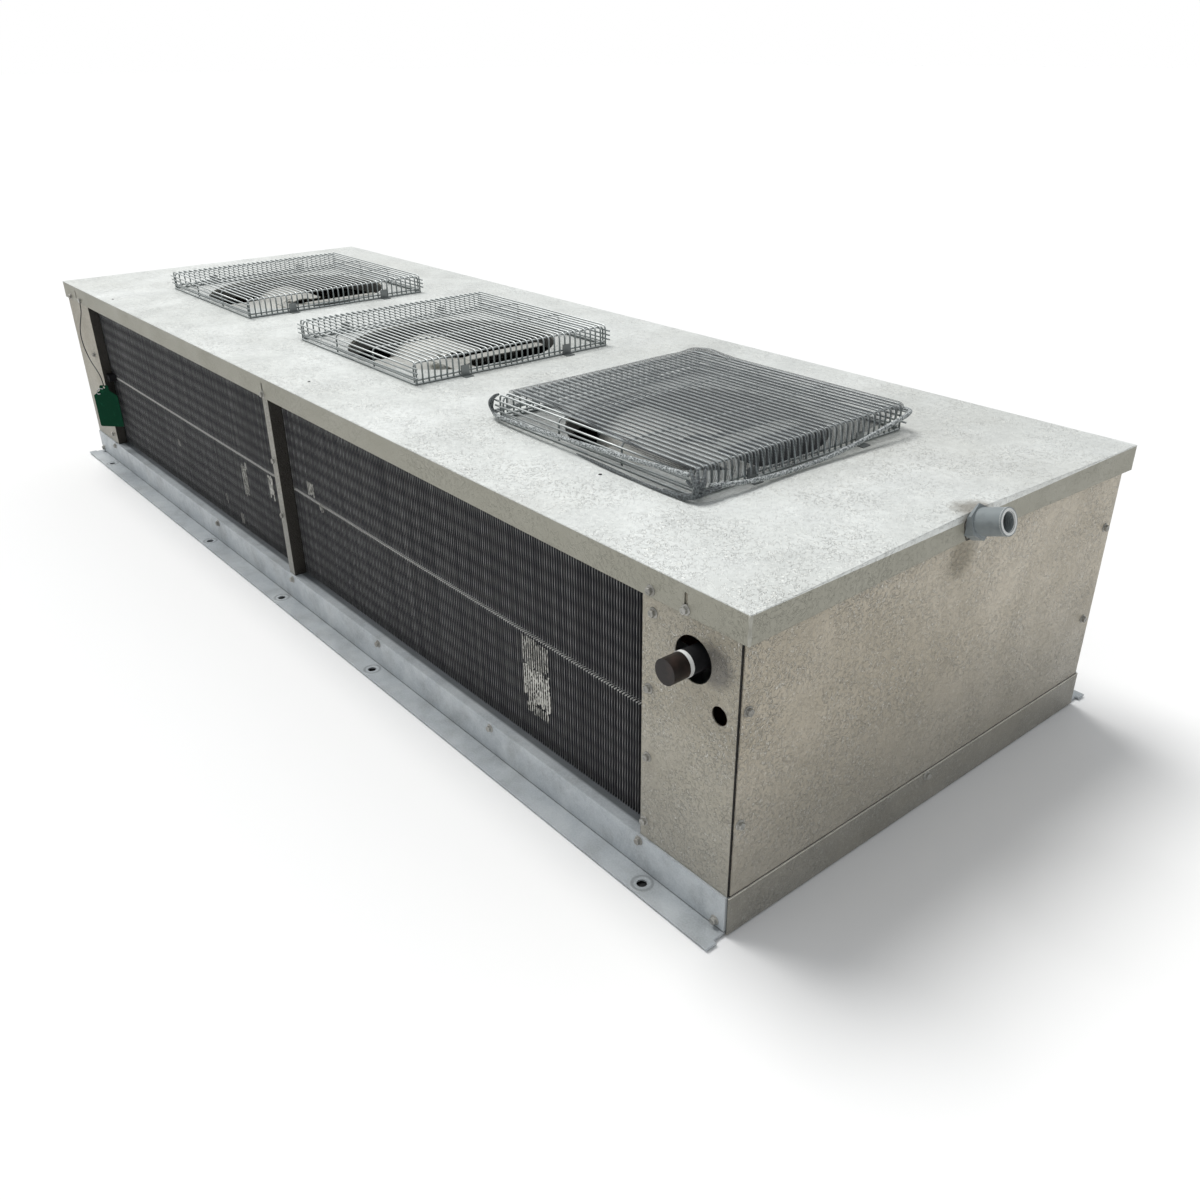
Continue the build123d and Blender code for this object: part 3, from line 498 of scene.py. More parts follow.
# ---------------------------------------------------------------- finishes
PIPE_MARK = Vector((COVER_HIGH.x - 34 * MM, COVER_LOW.y, PAN_TOP - 78 * MM))
DRAIN_MARK = Vector((PAN_HIGH.x, -4 * MM, PAN_TOP - 8 * MM))
JOINT_SHADE = rgb(14, 13, 12)          # painted shade in the joint between two sheets
SHADED = rgb(64, 61, 56)       # edge that faces the coil
MATERIALS = {
    "pan": stucco("stucco_pan", rgb(235, 238, 236), rgb(222, 225, 222), 0.5, 0.4 * MM,
                  [(DRAIN_MARK, 34 * MM, rgb(120, 112, 98))],
                  # painted shade on the pan's rim, below its top
                  [("Z", PAN_LOW.z - MM, PAN_TOP - 1.2 * MM, rgb(158, 156, 143))], 240.0),
    "lip": stucco("stucco_lip", rgb(234, 237, 235), rgb(212, 214, 211), 0.3, 0.3 * MM, (),
                  # painted shade inside each fan's ring
                  [("Z", 0.0, PAN_TOP - 5 * MM, rgb(92, 92, 89))]),
    "cover": stucco("stucco_cover", rgb(184, 178, 163), rgb(162, 155, 139), 0.46, 0.7 * MM,
                    [(PIPE_MARK, 26 * MM, rgb(92, 90, 88))],
                    # painted shade in the corner joint and on the return that faces the coil
                    [("X", COVER_HIGH.x - 0.2 * MM, 2 * COVER_HIGH.x, JOINT_SHADE),
                     ("X", 0.0, COVER_LOW.x + 0.3 * MM, SHADED)]),
    "panel": stucco("stucco_panel", rgb(206, 197, 180), rgb(180, 171, 153), 0.46, 0.7 * MM,
                    [(DRAIN_MARK - Vector((0, 0, 45 * MM)), 30 * MM, rgb(140, 132, 114))],
                    # painted shade of the joint above the foot channel
                    [("Z", 0.0, CHANNEL_HIGH.z + 1.4 * MM, JOINT_SHADE)]),
    "channel": stucco("stucco_channel", rgb(186, 179, 164), rgb(152, 145, 130), 0.46, 0.7 * MM, (),
                      # painted highlight along the channel's top edge
                      [("Z", CHANNEL_HIGH.z - 1.2 * MM, 1.0, rgb(232, 228, 216))]),
    "divider": stucco("stucco_divider", rgb(158, 155, 146), rgb(134, 131, 122), 0.46, 0.7 * MM, (),
                      [("X", DIVIDER_HIGH.x - 0.3 * MM, 1.0, SHADED)]),
    "galvanised": galvanised("galvanised_steel", rgb(181, 187, 191), rgb(157, 165, 170)),
    "clip": bright_metal("zinc_clip", rgb(136, 140, 140), rgb(96, 100, 102), 0.4, 0.6, 500.0),
    "fins": fin_metal("fin_metal"),
    "bent_fins": bright_metal("bent_fins", rgb(198, 197, 190), rgb(150, 148, 141), 0.4, 0.3),
    "blade": bright_metal("blade_sheet", rgb(226, 226, 220), rgb(172, 171, 164), 0.32, 0.4),
    "wire": zinc_wire("zinc_wire"),
    "screw": bright_metal("zinc_screw", rgb(172, 171, 166), rgb(112, 109, 102), 0.3, 0.6, 700.0),
    "steel": bright_metal("shaft_steel", rgb(190, 190, 192), rgb(130, 128, 126), 0.25, 0.9, 700.0),
    "copper": bright_metal("dull_copper", rgb(128, 80, 58), rgb(62, 44, 36), 0.5, 0.6),
    "black": plastic("black_foam", rgb(24, 24, 26), rgb(44, 44, 46), 0.85, 0.5 * MM),
    "cap": plastic("cap_plastic", rgb(30, 24, 22), rgb(66, 50, 44), 0.36, 0.2 * MM),
    "band": plastic("band_white", rgb(224, 226, 224), rgb(168, 168, 164), 0.5),
    "socket": plastic("grey_plastic", rgb(140, 147, 149), rgb(108, 113, 114), 0.32),
    "motor": plastic("motor_black", rgb(30, 31, 34), rgb(58, 58, 60), 0.45),
    "net": net_cloth("net_cloth"),
    "rope": rope_cloth("hem_braid", rgb(206, 211, 211), rgb(92, 98, 100)),
    "rolled": rope_cloth("rolled_net", rgb(112, 118, 120), rgb(52, 57, 59)),
    "cord": rope_cloth("cord_dark", rgb(52, 52, 54), rgb(20, 20, 22)),
    "tag": tag_card("tag_card"),
    "hole": plastic("hole_dark", rgb(40, 40, 42), rgb(70, 70, 70), 0.8),
    "seam": plastic("rim_seam", rgb(176, 175, 165), rgb(140, 138, 128), 0.5, 0.3 * MM),
    "sealant": plastic("sealant", rgb(70, 68, 64), rgb(120, 116, 108), 0.7, 0.4 * MM),
}
NODE_FINISHES = (
    ("drain_pan", "pan"), ("drain_", "socket"), ("end_panel", "panel"), ("end_channel", "channel"),
    ("cover_plate", "cover"), ("divider", "divider"), ("deck", "galvanised"), ("mounting_rail", "galvanised"),
    ("coil_guide", "galvanised"), ("tube_sheet", "galvanised"), ("motor_bracket", "galvanised"),
    ("suction_header", "copper"), ("stub_sleeve", "black"), ("stub_band", "band"), ("stub_cap", "cap"),
    ("seam_foam", "black"), ("fan_", "blade"), ("motor_shaft", "steel"), ("motor_", "motor"),
    ("guard_clips", "clip"), ("guard_", "wire"), ("fin_pack", "fins"), ("net_hem", "rope"), ("net_", "net"),
    ("tag_screw", "screw"), ("tag_cord", "cord"), ("service_tag", "tag"),
)


def dress_nodes():
    """Gives each node of the frame the first finish whose start its name has."""
    for name, obj in NODES.items():
        finish = next(key for start, key in NODE_FINISHES if name.startswith(start))
        if not obj.material_slots:
            obj.data.materials.append(MATERIALS[finish])
        for slot in obj.material_slots:
            slot.material = MATERIALS[finish]


# ---------------------------------------------------------------- wire guards
def guard(number):
    """Round wires of a guard: long ones bent down at both ends, cross ones under them, side and base ones."""
    low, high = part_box(f"guard_{number}")
    r = WIRE_RADIUS
    foot, top = low.z + BASE_WIRE_RADIUS, high.z - r
    under = top - 2 * r
    left, right, front, back = low.x + r, high.x - r, low.y + 3 * r, high.y - 3 * r
    basket = Build()
    for y in np.linspace(front, back, LONG_WIRES):
        lean = RNG.normal(0, WIRE_LEAN)
        corners = [(left, y + lean, foot), (left, y, top), (right, y, top), (right, y + lean, foot)]
        basket.tube(bent(corners, WIRE_BEND), r)
    for x in np.linspace(low.x + 6 * r, high.x - 6 * r, CROSS_WIRES):
        corners = [(x, front, foot), (x, front, under), (x, back, under), (x, back, foot)]
        basket.tube(bent(corners, WIRE_BEND), r)
    for y in (low.y + r, high.y - r):
        for level in SIDE_WIRES:
            z = foot + level * (top - foot)
            ends = (low.x - WIRE_OVERRUN, (low.x + high.x) / 2, high.x + WIRE_OVERRUN)
            basket.tube([(x, y, z) for x in ends], r)
    for inset, z in ((0.0, foot), (BASE_INSET, foot + 2.9 * BASE_WIRE_RADIUS)):
        x0, x1 = low.x + BASE_WIRE_RADIUS + inset, high.x - BASE_WIRE_RADIUS - inset
        y0, y1 = low.y + BASE_WIRE_RADIUS + inset, high.y - BASE_WIRE_RADIUS - inset
        middle = (x0 + x1) / 2
        loop = [(middle, y0, z), (x1, y0, z), (x1, y1, z), (x0, y1, z), (x0, y0, z), (middle + MM, y0, z)]
        basket.tube(bent(loop, WIRE_BEND / 2), BASE_WIRE_RADIUS)
    basket.piece(f"guard_basket_{number}", MATERIALS["wire"], replaces=[f"guard_{number}"])


# ---------------------------------------------------------------- net over the third guard
def net_places():
    """The basket's middle, half size and top, and the sheet's coordinates, which are finest over the top."""
    low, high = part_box("guard_3")
    centre = (low + high) / 2
    half = (high - low) / 2
    xs = np.concatenate([
        np.linspace(-half.x - NET_DROP, -half.x, 15)[:-1],
        np.linspace(-half.x, half.x, 71)[:-1],
        np.linspace(half.x, half.x + NET_DROP, 15),
    ])
    ys = np.concatenate([
        np.linspace(-half.y - NET_FRONT, -half.y, 6)[:-1],
        np.linspace(-half.y, half.y, 4 * LONG_WIRES + 1)[:-1],
        np.linspace(half.y, half.y + NET_DROP, 15),
    ])
    return centre, half, high.z, xs, ys


def hem_height(x, y, half):
    """Height of the net's lower edge above the pan, by the side that a point hangs on."""
    if x > half.x:
        return float(np.interp(y / half.y, (-1, -0.6, -0.2, 0.4, 1), (18, 9, 5, 12, 29))) * MM
    if y > half.y:
        return float(np.interp(x / half.x, (-1, 0.3, 1), (10, 13, 29))) * MM
    return 8 * MM


def skirt_drape(s, t, out, half, dip, skirt):
    """How far out from the bend's centre line, and down, the net hangs at a point past the guard's edge."""
    away = out.normalized()
    if t < -half.y and abs(s) < half.x:
        reach = hang = NET_FRONT
    else:
        reach = NET_DROP * (1.0 + NET_EXTRA * abs(2 * away.x * away.y))
        hang = skirt - hem_height(s, t, half)
    run = (out.length - NET_CORNER) * hang / reach
    turn = min(run / NET_BEND, math.pi / 2)
    straight = max(0.0, run - NET_BEND * math.pi / 2)
    fold = NET_FOLD * math.sin(NET_FOLDS * math.atan2(t, s)) * min(1.0, straight / (20 * MM))
    swing = NET_CORNER + NET_BEND * math.sin(turn) + NET_FLARE * straight + fold - 0.4 * dip
    return away * swing, NET_BEND * (1 - math.cos(turn)) + straight


def net_sheet():
    """The net lies over the guard, dips between the wires, bends over the edges and hangs to its hem. Its
    front edge is drawn back on the left, so that the guard shows there."""
    centre, half, top, xs, ys = net_places()
    pitch = 2 * half.y / LONG_WIRES
    verts, flat = [], []
    for s in xs:
        drawn = np.interp(s / half.x, (-1.0, -0.5, 0.0, 0.5, 0.85), (36, 31, 19, 7, 0)) * MM
        for t in ys + drawn * np.interp(ys / half.y, (-1.0, 0.0), (1.0, 0.0)):
            qx = max(-half.x + NET_CORNER, min(half.x - NET_CORNER, s))
            qy = max(-half.y + NET_CORNER, min(half.y - NET_CORNER, t))
            out = Vector((s - qx, t - qy))
            dip = NET_DIP * (0.5 - 0.5 * math.cos(2 * math.pi * t / pitch))
            if out.length <= NET_CORNER:
                x, y, z = s, t, top + NET_LIFT - dip
            else:
                aside, fall = skirt_drape(s, t, out, half, dip, top - PAN_TOP)
                x, y, z = qx + aside.x, qy + aside.y, top + NET_LIFT - fall
            x, y, z = crumple(x, y, z, half, top)
            verts.append((centre.x + x, centre.y + y, z))
            flat.append((s, t))
    rows = len(ys)
    faces = [(i * rows + j, (i + 1) * rows + j, (i + 1) * rows + j + 1, i * rows + j + 1)
             for i in range(len(xs) - 1) for j in range(rows - 1)]
    mesh = bpy.data.meshes.new("net_sheet")
    mesh.from_pydata(verts, [], faces)
    mesh.polygons.foreach_set("use_smooth", [True] * len(faces))
    layer = mesh.uv_layers.new(name="flat")
    for loop in mesh.loops:
        layer.data[loop.index].uv = flat[loop.vertex_index]
    cloth = bpy.data.objects.new("net_sheet", mesh)
    dress(cloth, MATERIALS["net"], replaces=["net_cover"])
    return cloth, (xs[-1] - xs[0], ys[-1] - ys[0])


def crumple(x, y, z, half, top):
    """A fold that stands up at the back left corner, slack along the left edge, and a seam across the top."""
    near_fold = math.exp(-((x + 0.82 * half.x) / (34 * MM)) ** 2 - ((y - 0.93 * half.y) / (15 * MM)) ** 2)
    z += 8.5 * MM * near_fold
    slack = math.exp(-((y - 0.55 * half.y) / (60 * MM)) ** 2) * math.exp(-((x + half.x) / (9 * MM)) ** 2)
    x -= 3 * MM * slack
    seam = math.exp(-((x + 0.28 * half.x) / (14 * MM)) ** 2) * (1 if z > top - MM else 0)
    z += 1.1 * MM * seam * max(0.0, math.sin(math.pi * (y / half.y + 1) / 2))
    return x, y, z


def hem_route():
    """The hem's line in the frame, from the near right corner along the front and round the guard."""
    centre, half, _, _, _ = net_places()
    wide, deep = half.x + 17.5 * MM, half.y + 8.5 * MM
    stops = (
        (0.90, -1.00, 31), (0.62, -1.00, 27), (0.30, -1.005, 22), (-0.05, -1.00, 17), (-0.40, -1.005, 13),
        (-0.72, -1.00, 9.5), (-0.93, -0.99, 8), (-1.00, -0.92, 9), (-1.00, -0.55, 7), (-1.005, -0.1, 6),
        (-1.00, 0.4, 6.5), (-1.00, 0.8, 8), (-0.97, 0.97, 10), (-0.75, 1.00, 11), (-0.2, 1.005, 12),
        (0.35, 1.00, 14), (0.78, 1.00, 23), (0.95, 0.99, 30), (1.00, 0.90, 29), (1.00, 0.60, 19),
        (1.005, 0.25, 9), (1.00, -0.05, 5), (1.00, -0.35, 5.5), (1.005, -0.62, 10), (0.99, -0.80, 15),
        (0.97, -0.90, 17),
    )
    return [(centre.x + fx * wide, centre.y + fy * deep, PAN_TOP + up * MM) for fx, fy, up in stops]


def net_hem():
    """Elastic rope of four braided strands round the net's edge."""
    line = along(hem_route())
    rope = Build()
    lengths = np.concatenate([[0.0], np.cumsum([(b - a).length for a, b in zip(line, line[1:])])])
    steps = int(lengths[-1] / (1.6 * MM))
    at = np.linspace(0, lengths[-1], steps)
    points = np.stack([np.interp(at, lengths, [p[axis] for p in line]) for axis in range(3)], axis=1)
    ahead = np.gradient(points, axis=0)
    ahead /= np.linalg.norm(ahead, axis=1)[:, None]
    side = np.cross(ahead, (0.0, 0.0, 1.0))
    side /= np.linalg.norm(side, axis=1)[:, None]
    up = np.cross(side, ahead)
    strand = 0.5 * HEM_RADIUS
    for number in range(HEM_STRANDS):
        turn = 2 * math.pi * (at / HEM_TWIST + number / HEM_STRANDS)
        path = points + strand * (side * np.cos(turn)[:, None] + up * np.sin(turn)[:, None])
        rope.tube(path, strand * 1.06, sides=5)
    return rope.piece("hem_rope", MATERIALS["rope"], replaces=["net_hem"])


def net_bunch():
    """Rolled edges of the net: bunched folds at the near right corner, one roll down the left corner and a
    thin one along the front. Each has its half width in mm, then places as shares of the guard's half size
    and in mm above the pan."""
    centre, half, _, _, _ = net_places()

    def at(fx, fy, up):
        return (centre.x + fx * half.x, centre.y + fy * half.y, PAN_TOP + up * MM)

    rolls = (
        (3.6, (1.0, -0.99, 37), (1.035, -1.02, 27), (1.05, -1.05, 15), (1.03, -1.06, 6), (0.98, -1.08, 3.4)),
        (3.2, (0.95, -1.0, 36), (1.0, -1.035, 30), (1.04, -1.04, 20), (1.075, -1.0, 13), (1.09, -0.94, 13)),
        (3.4, (1.0, -0.93, 37), (1.04, -0.97, 30), (1.06, -1.0, 21), (1.04, -1.045, 17), (0.97, -1.05, 24)),
        (3.8, (1.09, -0.88, 15), (1.07, -0.98, 12), (1.04, -1.06, 8), (0.94, -1.075, 5), (0.8, -1.07, 3.2)),
        (2.0, (0.99, -1.08, 3.0), (0.7, -1.085, 2.6), (0.4, -1.075, 2.6), (0.15, -1.06, 2.4),
         (-0.05, -1.045, 2.2)),
        (3.4, (-0.99, -0.99, 37.5), (-1.04, -1.0, 33), (-1.085, -1.0, 22), (-1.075, -1.0, 11),
         (-0.98, -1.03, 8)),
        (1.0, (-0.99, -0.84, 38.6), (-0.75, -0.85, 38.8), (-0.5, -0.86, 38.8), (0.0, -0.93, 38.7),
         (0.5, -1.0, 37.6), (0.97, -1.01, 36.5)),
    )
    folds = Build()
    for width, *route in rolls:
        line = along([at(*stop) for stop in route])
        wobble = 1 + 0.22 * np.sin(np.linspace(0, 9, len(line)) + width)
        taper = np.interp(np.linspace(0, 1, len(line)), (0, 0.15, 0.85, 1), (0.5, 1, 1, 0.5))
        folds.tube(line, wobble * width * MM * taper)
    return folds.piece("net_bunch", MATERIALS["rolled"], replaces=["net_gather"])


# ---------------------------------------------------------------- coils
def fin_slab(side, level):
    """Thin fins with rippled outer edges. Returns the slab's box, its outer face and the way in from it."""
    node = f"fin_pack_{side}_{level}"
    low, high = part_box(node)
    face, back = (low.y, high.y) if side == "front" else (high.y, low.y)
    inward = math.copysign(1.0, back - face)
    rings = 4 * FIN_WAVES + 1
    zs = np.linspace(low.z, high.z, rings)
    phase = np.linspace(0, 2 * math.pi * FIN_WAVES, rings)
    ripple = FIN_RIPPLE * (0.5 - 0.5 * np.cos(phase))
    slab = Build()
    count = int((high.x - low.x) / FIN_PITCH)
    margin = FIN_SHEET + FIN_SWING
    for x in np.linspace(low.x + margin, high.x - margin, count):
        lean = RNG.normal(0, FIN_LEAN)
        swing = FIN_SWING * np.interp(x, (-0.9, -0.3, 0.3, 0.8), (0.1, 0.5, 0.5, 0.12)) * np.sin(phase)
        verts = []
        for depth, sway, z in zip(ripple, swing, zs):
            left, right = x + sway + lean - FIN_SHEET / 2, x + sway + lean + FIN_SHEET / 2
            near = face + inward * depth
            verts += [(left, near, z), (right, near, z), (right, back, z), (left, back, z)]
        slab.add(verts, ring_faces(rings, 4))
    slab.piece(f"fins_{side}_{level}", MATERIALS["fins"], smooth=False, replaces=[node])
    return low, high, face, inward


def coil_tubes(slabs):
    """Copper tubes through all the fins, in staggered rows."""
    tubes = Build()
    for low, high, face, inward in slabs:
        depth = (high.y - low.y) / TUBE_ROWS
        rise = (high.z - low.z) / TUBE_LEVELS
        for row in range(TUBE_ROWS):
            odd = row % 2
            y = face + inward * depth * (row + 0.5)
            for k in range(TUBE_LEVELS - odd):
                z = low.z + rise * (k + 0.5 + 0.5 * odd)
                tubes.tube([(low.x, y, z), ((low.x + high.x) / 2, y, z), (high.x, y, z)], TUBE_RADIUS)
    tubes.piece("coil_tubes", MATERIALS["copper"])


def bent_fins(slabs):
    """Places where the fins' edges are bent flat and shine: short lips folded over their neighbours. A patch
    has its ends along the coil and its heights, in mm, and a lip's reach, as a share of the fins' pitch."""
    _, _, face, inward = slabs[0]
    patches = (
        (684, 742, 104, 168, 1.0), (684, 742, 160, 212, 0.6), (690, 738, 92, 110, 0.6),
        (-99, -81, 160, 209, 1.0), (-223, -199, 126, 198, 0.7), (-204, -196, 186, 204, 0.6),
        (70, 92, 219, 246, 0.8), (108, 122, 200, 216, 0.6), (-268, -258, 56, 84, 0.5),
        (-334, -326, 84, 104, 0.5), (-566, -556, 140, 158, 0.4), (712, 733, 112, 130, 0.5),
    )
    lips = Build()
    for x0, x1, z0, z1, share in patches:
        for at in np.arange(x0 * MM, x1 * MM, FIN_PITCH):
            foot, head = z0 * MM, z1 * MM
            foot += (head - foot) * RNG.uniform(0.0, 0.3)
            head -= (head - foot) * RNG.uniform(0.0, 0.1)
            left = at + 0.4 * FIN_SHEET
            levels = np.linspace(foot, head, max(3, int((head - foot) / (2.6 * MM))))
            verts = []
            for level in levels:
                over = left + FIN_PITCH * share * RNG.uniform(0.3, 0.95)
                near = face - inward * RNG.uniform(0.1, 0.4) * MM
                curled = near - inward * RNG.uniform(0.0, 0.8) * MM
                inner = near + inward * 0.3 * MM
                ring = ((left, near), (over, curled), (over, inner), (left, inner))
                verts += [(x, y, level) for x, y in ring]
            lips.add(verts, ring_faces(len(levels), 4))
    lips.piece("bent_fin_lips", MATERIALS["bent_fins"], smooth=False)


# ---------------------------------------------------------------- screws and small forms
def screw(build, place, normal):
    """Hexagon head with a pressed washer, turned at random."""
    spin = Matrix.Rotation(RNG.uniform(0, math.pi / 3), 4, "Z")
    frame_at = facing(normal, place) @ spin
    washer = ((0.0, -0.2), (6.4, -0.2), (6.4, 0.5), (5.6, 1.2), (4.2, 1.4), (0.0, 1.4))
    build.lathe([(r * MM, h * MM) for r, h in washer], frame_at, 20)
    head = ((0.0, 1.2), (4.7, 1.2), (4.7, 4.4), (4.1, 5.2), (2.4, 5.2), (2.0, 4.7), (0.0, 4.7))
    build.lathe([(r * MM, h * MM) for r, h in head], frame_at, 6)


def sheet_screws():
    """Screws of the pan's rim, cover plates, rails, dividers and ends, alike on both sides and at both ends.
    Places are x and z on a side and y and z on an end, in mm."""
    heads = Build()
    rim = ((959, 385), (1012, 383), (0, 383), (-1055, 384))
    covers = ((962, 359), (956, 263), (955.5, 171), (952, 77), (-975, 263), (-972, 168), (-969, 73))
    webs = ((945, 44), (630, 44), (313.6, 44), (3, 44), (-337, 44), (-967, 44), (1075, 12), (-1075, 12))
    sides = ((PAN_LOW.y, rim), (COVER_LOW.y, covers), (RAIL_LOW.y + 32 * MM, webs),
             (DIVIDER_LOW.y, ((0, 267), (0, 167))))
    for y, places in sides:
        for x, z in places:
            screw(heads, (x * MM, y, z * MM), (0, -1, 0))
            screw(heads, (x * MM, -y, z * MM), (0, 1, 0))
    ends = ((PANEL_HIGH.x, ((-360, 294), (-362, 151), (354, 295), (350, 153))), (CHANNEL_HIGH.x, ((-6, 46),)))
    for x, places in ends:
        for y, z in places:
            screw(heads, (x, y * MM, z * MM), (1, 0, 0))
            screw(heads, (-x, y * MM, z * MM), (-1, 0, 0))
    heads.piece("sheet_screws", MATERIALS["screw"], smooth=False)


def hanger_places():
    """Centres of the hanger holes, from the record's mounts."""
    places = []
    for name in ("hanger_holes", "inner_hanger_holes", "middle_hanger_holes"):
        dims, centre = MOUNTS[name]["dims"], MOUNTS[name]["pos_m"]
        for sx in ((-0.5, 0.5) if "spacing_x_mm" in dims else (0,)):
            for sy in (-0.5, 0.5):
                x = centre[0] + sx * dims.get("spacing_x_mm", 0) * MM
                places.append((x, centre[1] + sy * dims["spacing_y_mm"] * MM))
    return places


def hanger_rings():
    """Pressed ring round each hanger hole, on the flange of the rail."""
    profile = ((9.4, -0.2), (10.4, 0.15), (11.8, 0.4), (13.4, 0.4), (14.6, 0.15), (15.6, -0.2))
    rings = Build()
    for x, y in hanger_places():
        place = Matrix.Translation((x, y, RAIL_SHEET))
        rings.lathe([(r * MM, h * MM) for r, h in profile], place, 32)
    rings.drop_caps()
    rings.piece("hanger_rings", MATERIALS["galvanised"])


def opening_lips():
    """Rounded lip where the pan is drawn down into each fan's ring."""
    inner = MOUTH_RADIUS - LIP_SKIN
    profile = [(MOUTH_RADIUS + LIP_BEND + 2 * MM, 0.05 * MM)]
    for turn in np.linspace(0, math.pi / 2, 7):
        profile.append((inner + LIP_BEND * (1 - math.sin(turn)), LIP_SKIN - LIP_BEND * (1 - math.cos(turn))))
    profile.append((inner, -LIP_HEIGHT))
    lips = Build()
    for fan in FANS:
        lips.lathe(profile, Matrix.Translation((fan.x, fan.y, PAN_TOP)), 96)
    lips.drop_caps()
    lips.piece("opening_lips", MATERIALS["lip"])


def pan_dots():
    """Small dark plugs in the pan."""
    profile = ((0.0, -0.2), (2.6, -0.2), (2.2, 0.5), (0.0, 0.7))
    dots = Build()
    for x, y in ((-805, -354), (80, -327), (716, -242)):
        place = Matrix.Translation((x * MM, y * MM, PAN_TOP))
        dots.lathe([(r * MM, h * MM) for r, h in profile], place, 12)
    dots.piece("pan_plugs", MATERIALS["hole"])


def corner_seam():
    """Bead of weld down the near corner of the pan's rim."""
    seams = Build()
    steps = np.linspace(PAN_LOW.z + MM, PAN_TOP - MM, 15)
    bead = 2.0 * MM + 0.35 * MM * np.sin(5 * steps / MM)
    seams.tube([(PAN_HIGH.x - 0.5 * MM, PAN_LOW.y + 0.5 * MM, z) for z in steps], bead, sides=10)
    seams.piece("corner_seam", MATERIALS["seam"])


def drain_socket():
    """The socket's start as a matrix whose Z runs outwards, with its radius and length, from the record."""
    mount = MOUNTS["drain_socket"]
    axis = Vector(mount["axis"]).normalized()
    length = mount["dims"]["length_mm"] * MM
    return facing(axis, Vector(mount["pos_m"]) - axis * length / 2), mount["dims"]["r_mm"] * MM, length


def drain_thread():
    """Inside thread of the drain socket."""
    place, radius, length = drain_socket()
    turns, steps = 9, 28
    path = []
    for k in range(turns * steps + 1):
        turn = 2 * math.pi * k / steps
        height = length * (0.04 + 0.92 * k / (turns * steps))
        path.append(place @ Vector((radius * math.cos(turn), radius * math.sin(turn), height)))
    thread = Build()
    thread.tube(path, 0.55 * MM, sides=5)
    thread.piece("drain_thread", MATERIALS["socket"])


def drain_rim():
    """Bright rounded rim of the drain socket."""
    place, radius, length = drain_socket()
    rounded = ((-0.3, -1.6), (-0.3, -0.6), (0.5, 0.1), (3.2, 0.1), (4.2, -0.5), (4.6, -2.0))
    rim = Build()
    rim.lathe([(radius + out * MM, length + up * MM) for out, up in rounded], place, 40)
    rim.drop_caps()
    rim.piece("drain_rim", MATERIALS["band"])


def drain_sealant():
    """Uneven bead of sealant round the drain's nut, flat under the top of the pan."""
    nut_low, nut_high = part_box("drain_nut")
    centre = Vector((PAN_HIGH.x - 0.4 * MM, (nut_low.y + nut_high.y) / 2, (nut_low.z + nut_high.z) / 2 - MM))
    ring = []
    for k in range(49):
        turn = 2 * math.pi * k / 48
        wave = 1 + 0.05 * math.sin(5 * turn) + 0.03 * math.sin(11 * turn)
        up = min(20.0 * MM * wave * math.sin(turn), 12 * MM)
        ring.append(centre + Vector((0, 20.5 * MM * wave * math.cos(turn), up)))
    bead = Build()
    bead.tube(ring, 1.3 * MM, sides=6)
    bead.piece("drain_sealant", MATERIALS["sealant"])


# ---------------------------------------------------------------- service tag
def tag_parts():
    """The tag's cord on the route of the part's own tube, with a small wire hook at the tag's shoulder."""
    screw_low, screw_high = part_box("tag_screw")
    head = Vector(((screw_low.x + screw_high.x) / 2, PAN_LOW.y - 2.25 * MM, 0.3794))
    route = [head, head - Vector((0, 0, 0.014))]
    route += [Vector(p) for p in (
        (-0.994, -0.381, 0.343), (-1.006, -0.385, 0.319), (-1.009, -0.386, 0.292), (-0.998, -0.385, 0.266),
        (-0.973, -0.385, 0.247), (-0.941, -0.385, 0.235), (-0.916, -0.385, 0.219), (-0.916, -0.385, 0.205),
    )]
    cord = spline_object("tag_string", route, CORD_RADIUS)
    dress(cord, MATERIALS["cord"], replaces=["tag_cord"])
    hook = tag_hook(route[-1])


def tag_hook(top):
    """Small wire hook from the cord's end: places across the tag, up, and in towards the pan, in mm."""
    lean = Vector((-math.cos(math.radians(TAG_TURN)), -math.sin(math.radians(TAG_TURN)), 0))
    shape = ((2, -9, 0), (9, -7, 1), (15, -10, 1), (19, -17, 0), (16, -22, -1), (11, -20, 0))
    path = []
    for across, up, inward in shape:
        path.append(top + lean * (across * MM) + Vector((0, (inward - 1.2) * MM, up * MM)))
    hook = Build()
    hook.tube(along(path), CORD_RADIUS, sides=8)
    return hook.piece("tag_hook", MATERIALS["wire"])


# ---------------------------------------------------------------- stage, light and camera
def stage():
    """Pale floor under the flanges, with a dark disc of painted shade below each hanger hole."""
    size, foot = 60.0, -2.5 * MM
    corners = ((-size, -size), (size, -size), (size, size), (-size, size))
    mesh = bpy.data.meshes.new("floor")
    mesh.from_pydata([(x, y, foot) for x, y in corners], [], [(0, 1, 2, 3)])
    floor = bpy.data.objects.new("floor", mesh)
    bpy.context.scene.collection.objects.link(floor)
    finish = Finish("pale_floor", Roughness=0.9)
    finish.put(Base_Color=finish.mix(finish.noise(0.8, 2.0), (0.9, 0.9, 0.9, 1), (0.92, 0.92, 0.92, 1)))
    mesh.materials.append(finish.material)
    # dark discs of painted shade on the floor under the hanger holes
    spots = Build()
    for x, y in hanger_places():
        spots.lathe([(0.0, foot), (9 * MM, foot), (9 * MM, foot + 0.4 * MM), (0.0, foot + 0.4 * MM)],
                    Matrix.Translation((x, y, 0)), 16)
    spots.piece("hole_shade", MATERIALS["hole"])


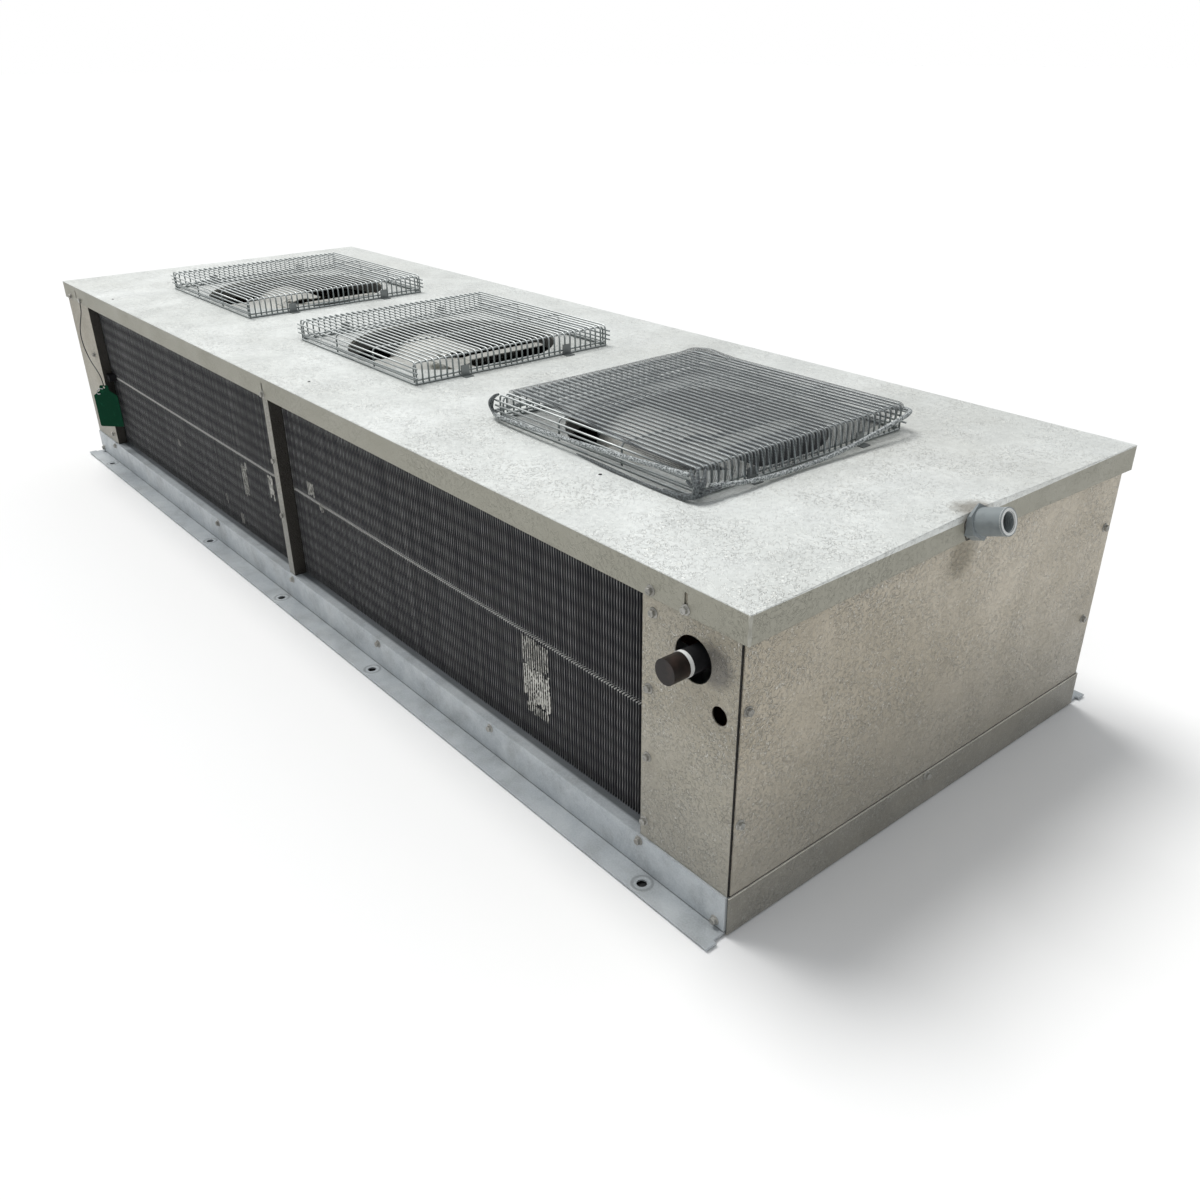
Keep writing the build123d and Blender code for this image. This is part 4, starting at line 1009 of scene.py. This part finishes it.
def studio():
    """White backdrop, a soft light from overhead, and a wide soft key from behind on the left."""
    scene = bpy.context.scene
    scene.view_settings.view_transform = "Standard"
    scene.world = bpy.data.worlds.new("studio")
    scene.world.use_nodes = True
    tree = scene.world.node_tree
    ways = tree.nodes.new("ShaderNodeSeparateXYZ")
    tree.links.new(tree.nodes.new("ShaderNodeTexCoord").outputs["Generated"], ways.inputs[0])
    dome = tree.nodes.new("ShaderNodeMix")
    backdrop = tree.nodes.new("ShaderNodeMix")
    for blend in (dome, backdrop):
        blend.data_type = "RGBA"
    tree.links.new(ways.outputs["Z"], dome.inputs[0])
    dome.inputs[6].default_value = (0.3, 0.3, 0.3, 1)
    dome.inputs[7].default_value = (0.6, 0.62, 0.64, 1)
    tree.links.new(tree.nodes.new("ShaderNodeLightPath").outputs["Is Camera Ray"], backdrop.inputs[0])
    tree.links.new(dome.outputs[2], backdrop.inputs[6])
    backdrop.inputs[7].default_value = (1.0, 1.0, 1.0, 1)
    tree.links.new(backdrop.outputs[2], tree.nodes["Background"].inputs["Color"])
    lamp = bpy.data.lights.new("key", "SUN")
    lamp.energy = 2.3
    lamp.angle = math.radians(28)
    lamp.color = (1.0, 0.99, 0.97)
    key = bpy.data.objects.new("key", lamp)
    key.rotation_euler = Vector((0.5, 0.02, -1.0)).to_track_quat("-Z", "Y").to_euler()
    scene.collection.objects.link(key)


def camera():
    """Close to the drain end, above the suction side: azimuth 58 degrees, 24 degrees up."""
    lens = bpy.data.cameras.new("camera")
    lens.lens = 31.93
    lens.sensor_width = 36.0
    lens.shift_x = -0.0092
    lens.shift_y = 0.0120
    obj = bpy.data.objects.new("camera", lens)
    obj.location = (1.6935, -1.0440, 0.8822)
    obj.rotation_euler = Euler([math.radians(a) for a in (62.107, 0.266, 49.919)])
    bpy.context.scene.collection.objects.link(obj)
    bpy.context.scene.camera = obj


# ---------------------------------------------------------------- the cooler
camera()
studio()
stage()
dress_nodes()
tag_parts()
for fan_number in (1, 2, 3):
    guard(fan_number)
net, net_flat = net_sheet()
hem = net_hem()
bunch = net_bunch()
all_slabs = [fin_slab(side, level) for side in ("front", "back") for level in ("lower", "upper")]
coil_tubes(all_slabs)
bent_fins(all_slabs)
sheet_screws()
hanger_rings()
opening_lips()
pan_dots()
corner_seam()
drain_thread()
drain_rim()
drain_sealant()
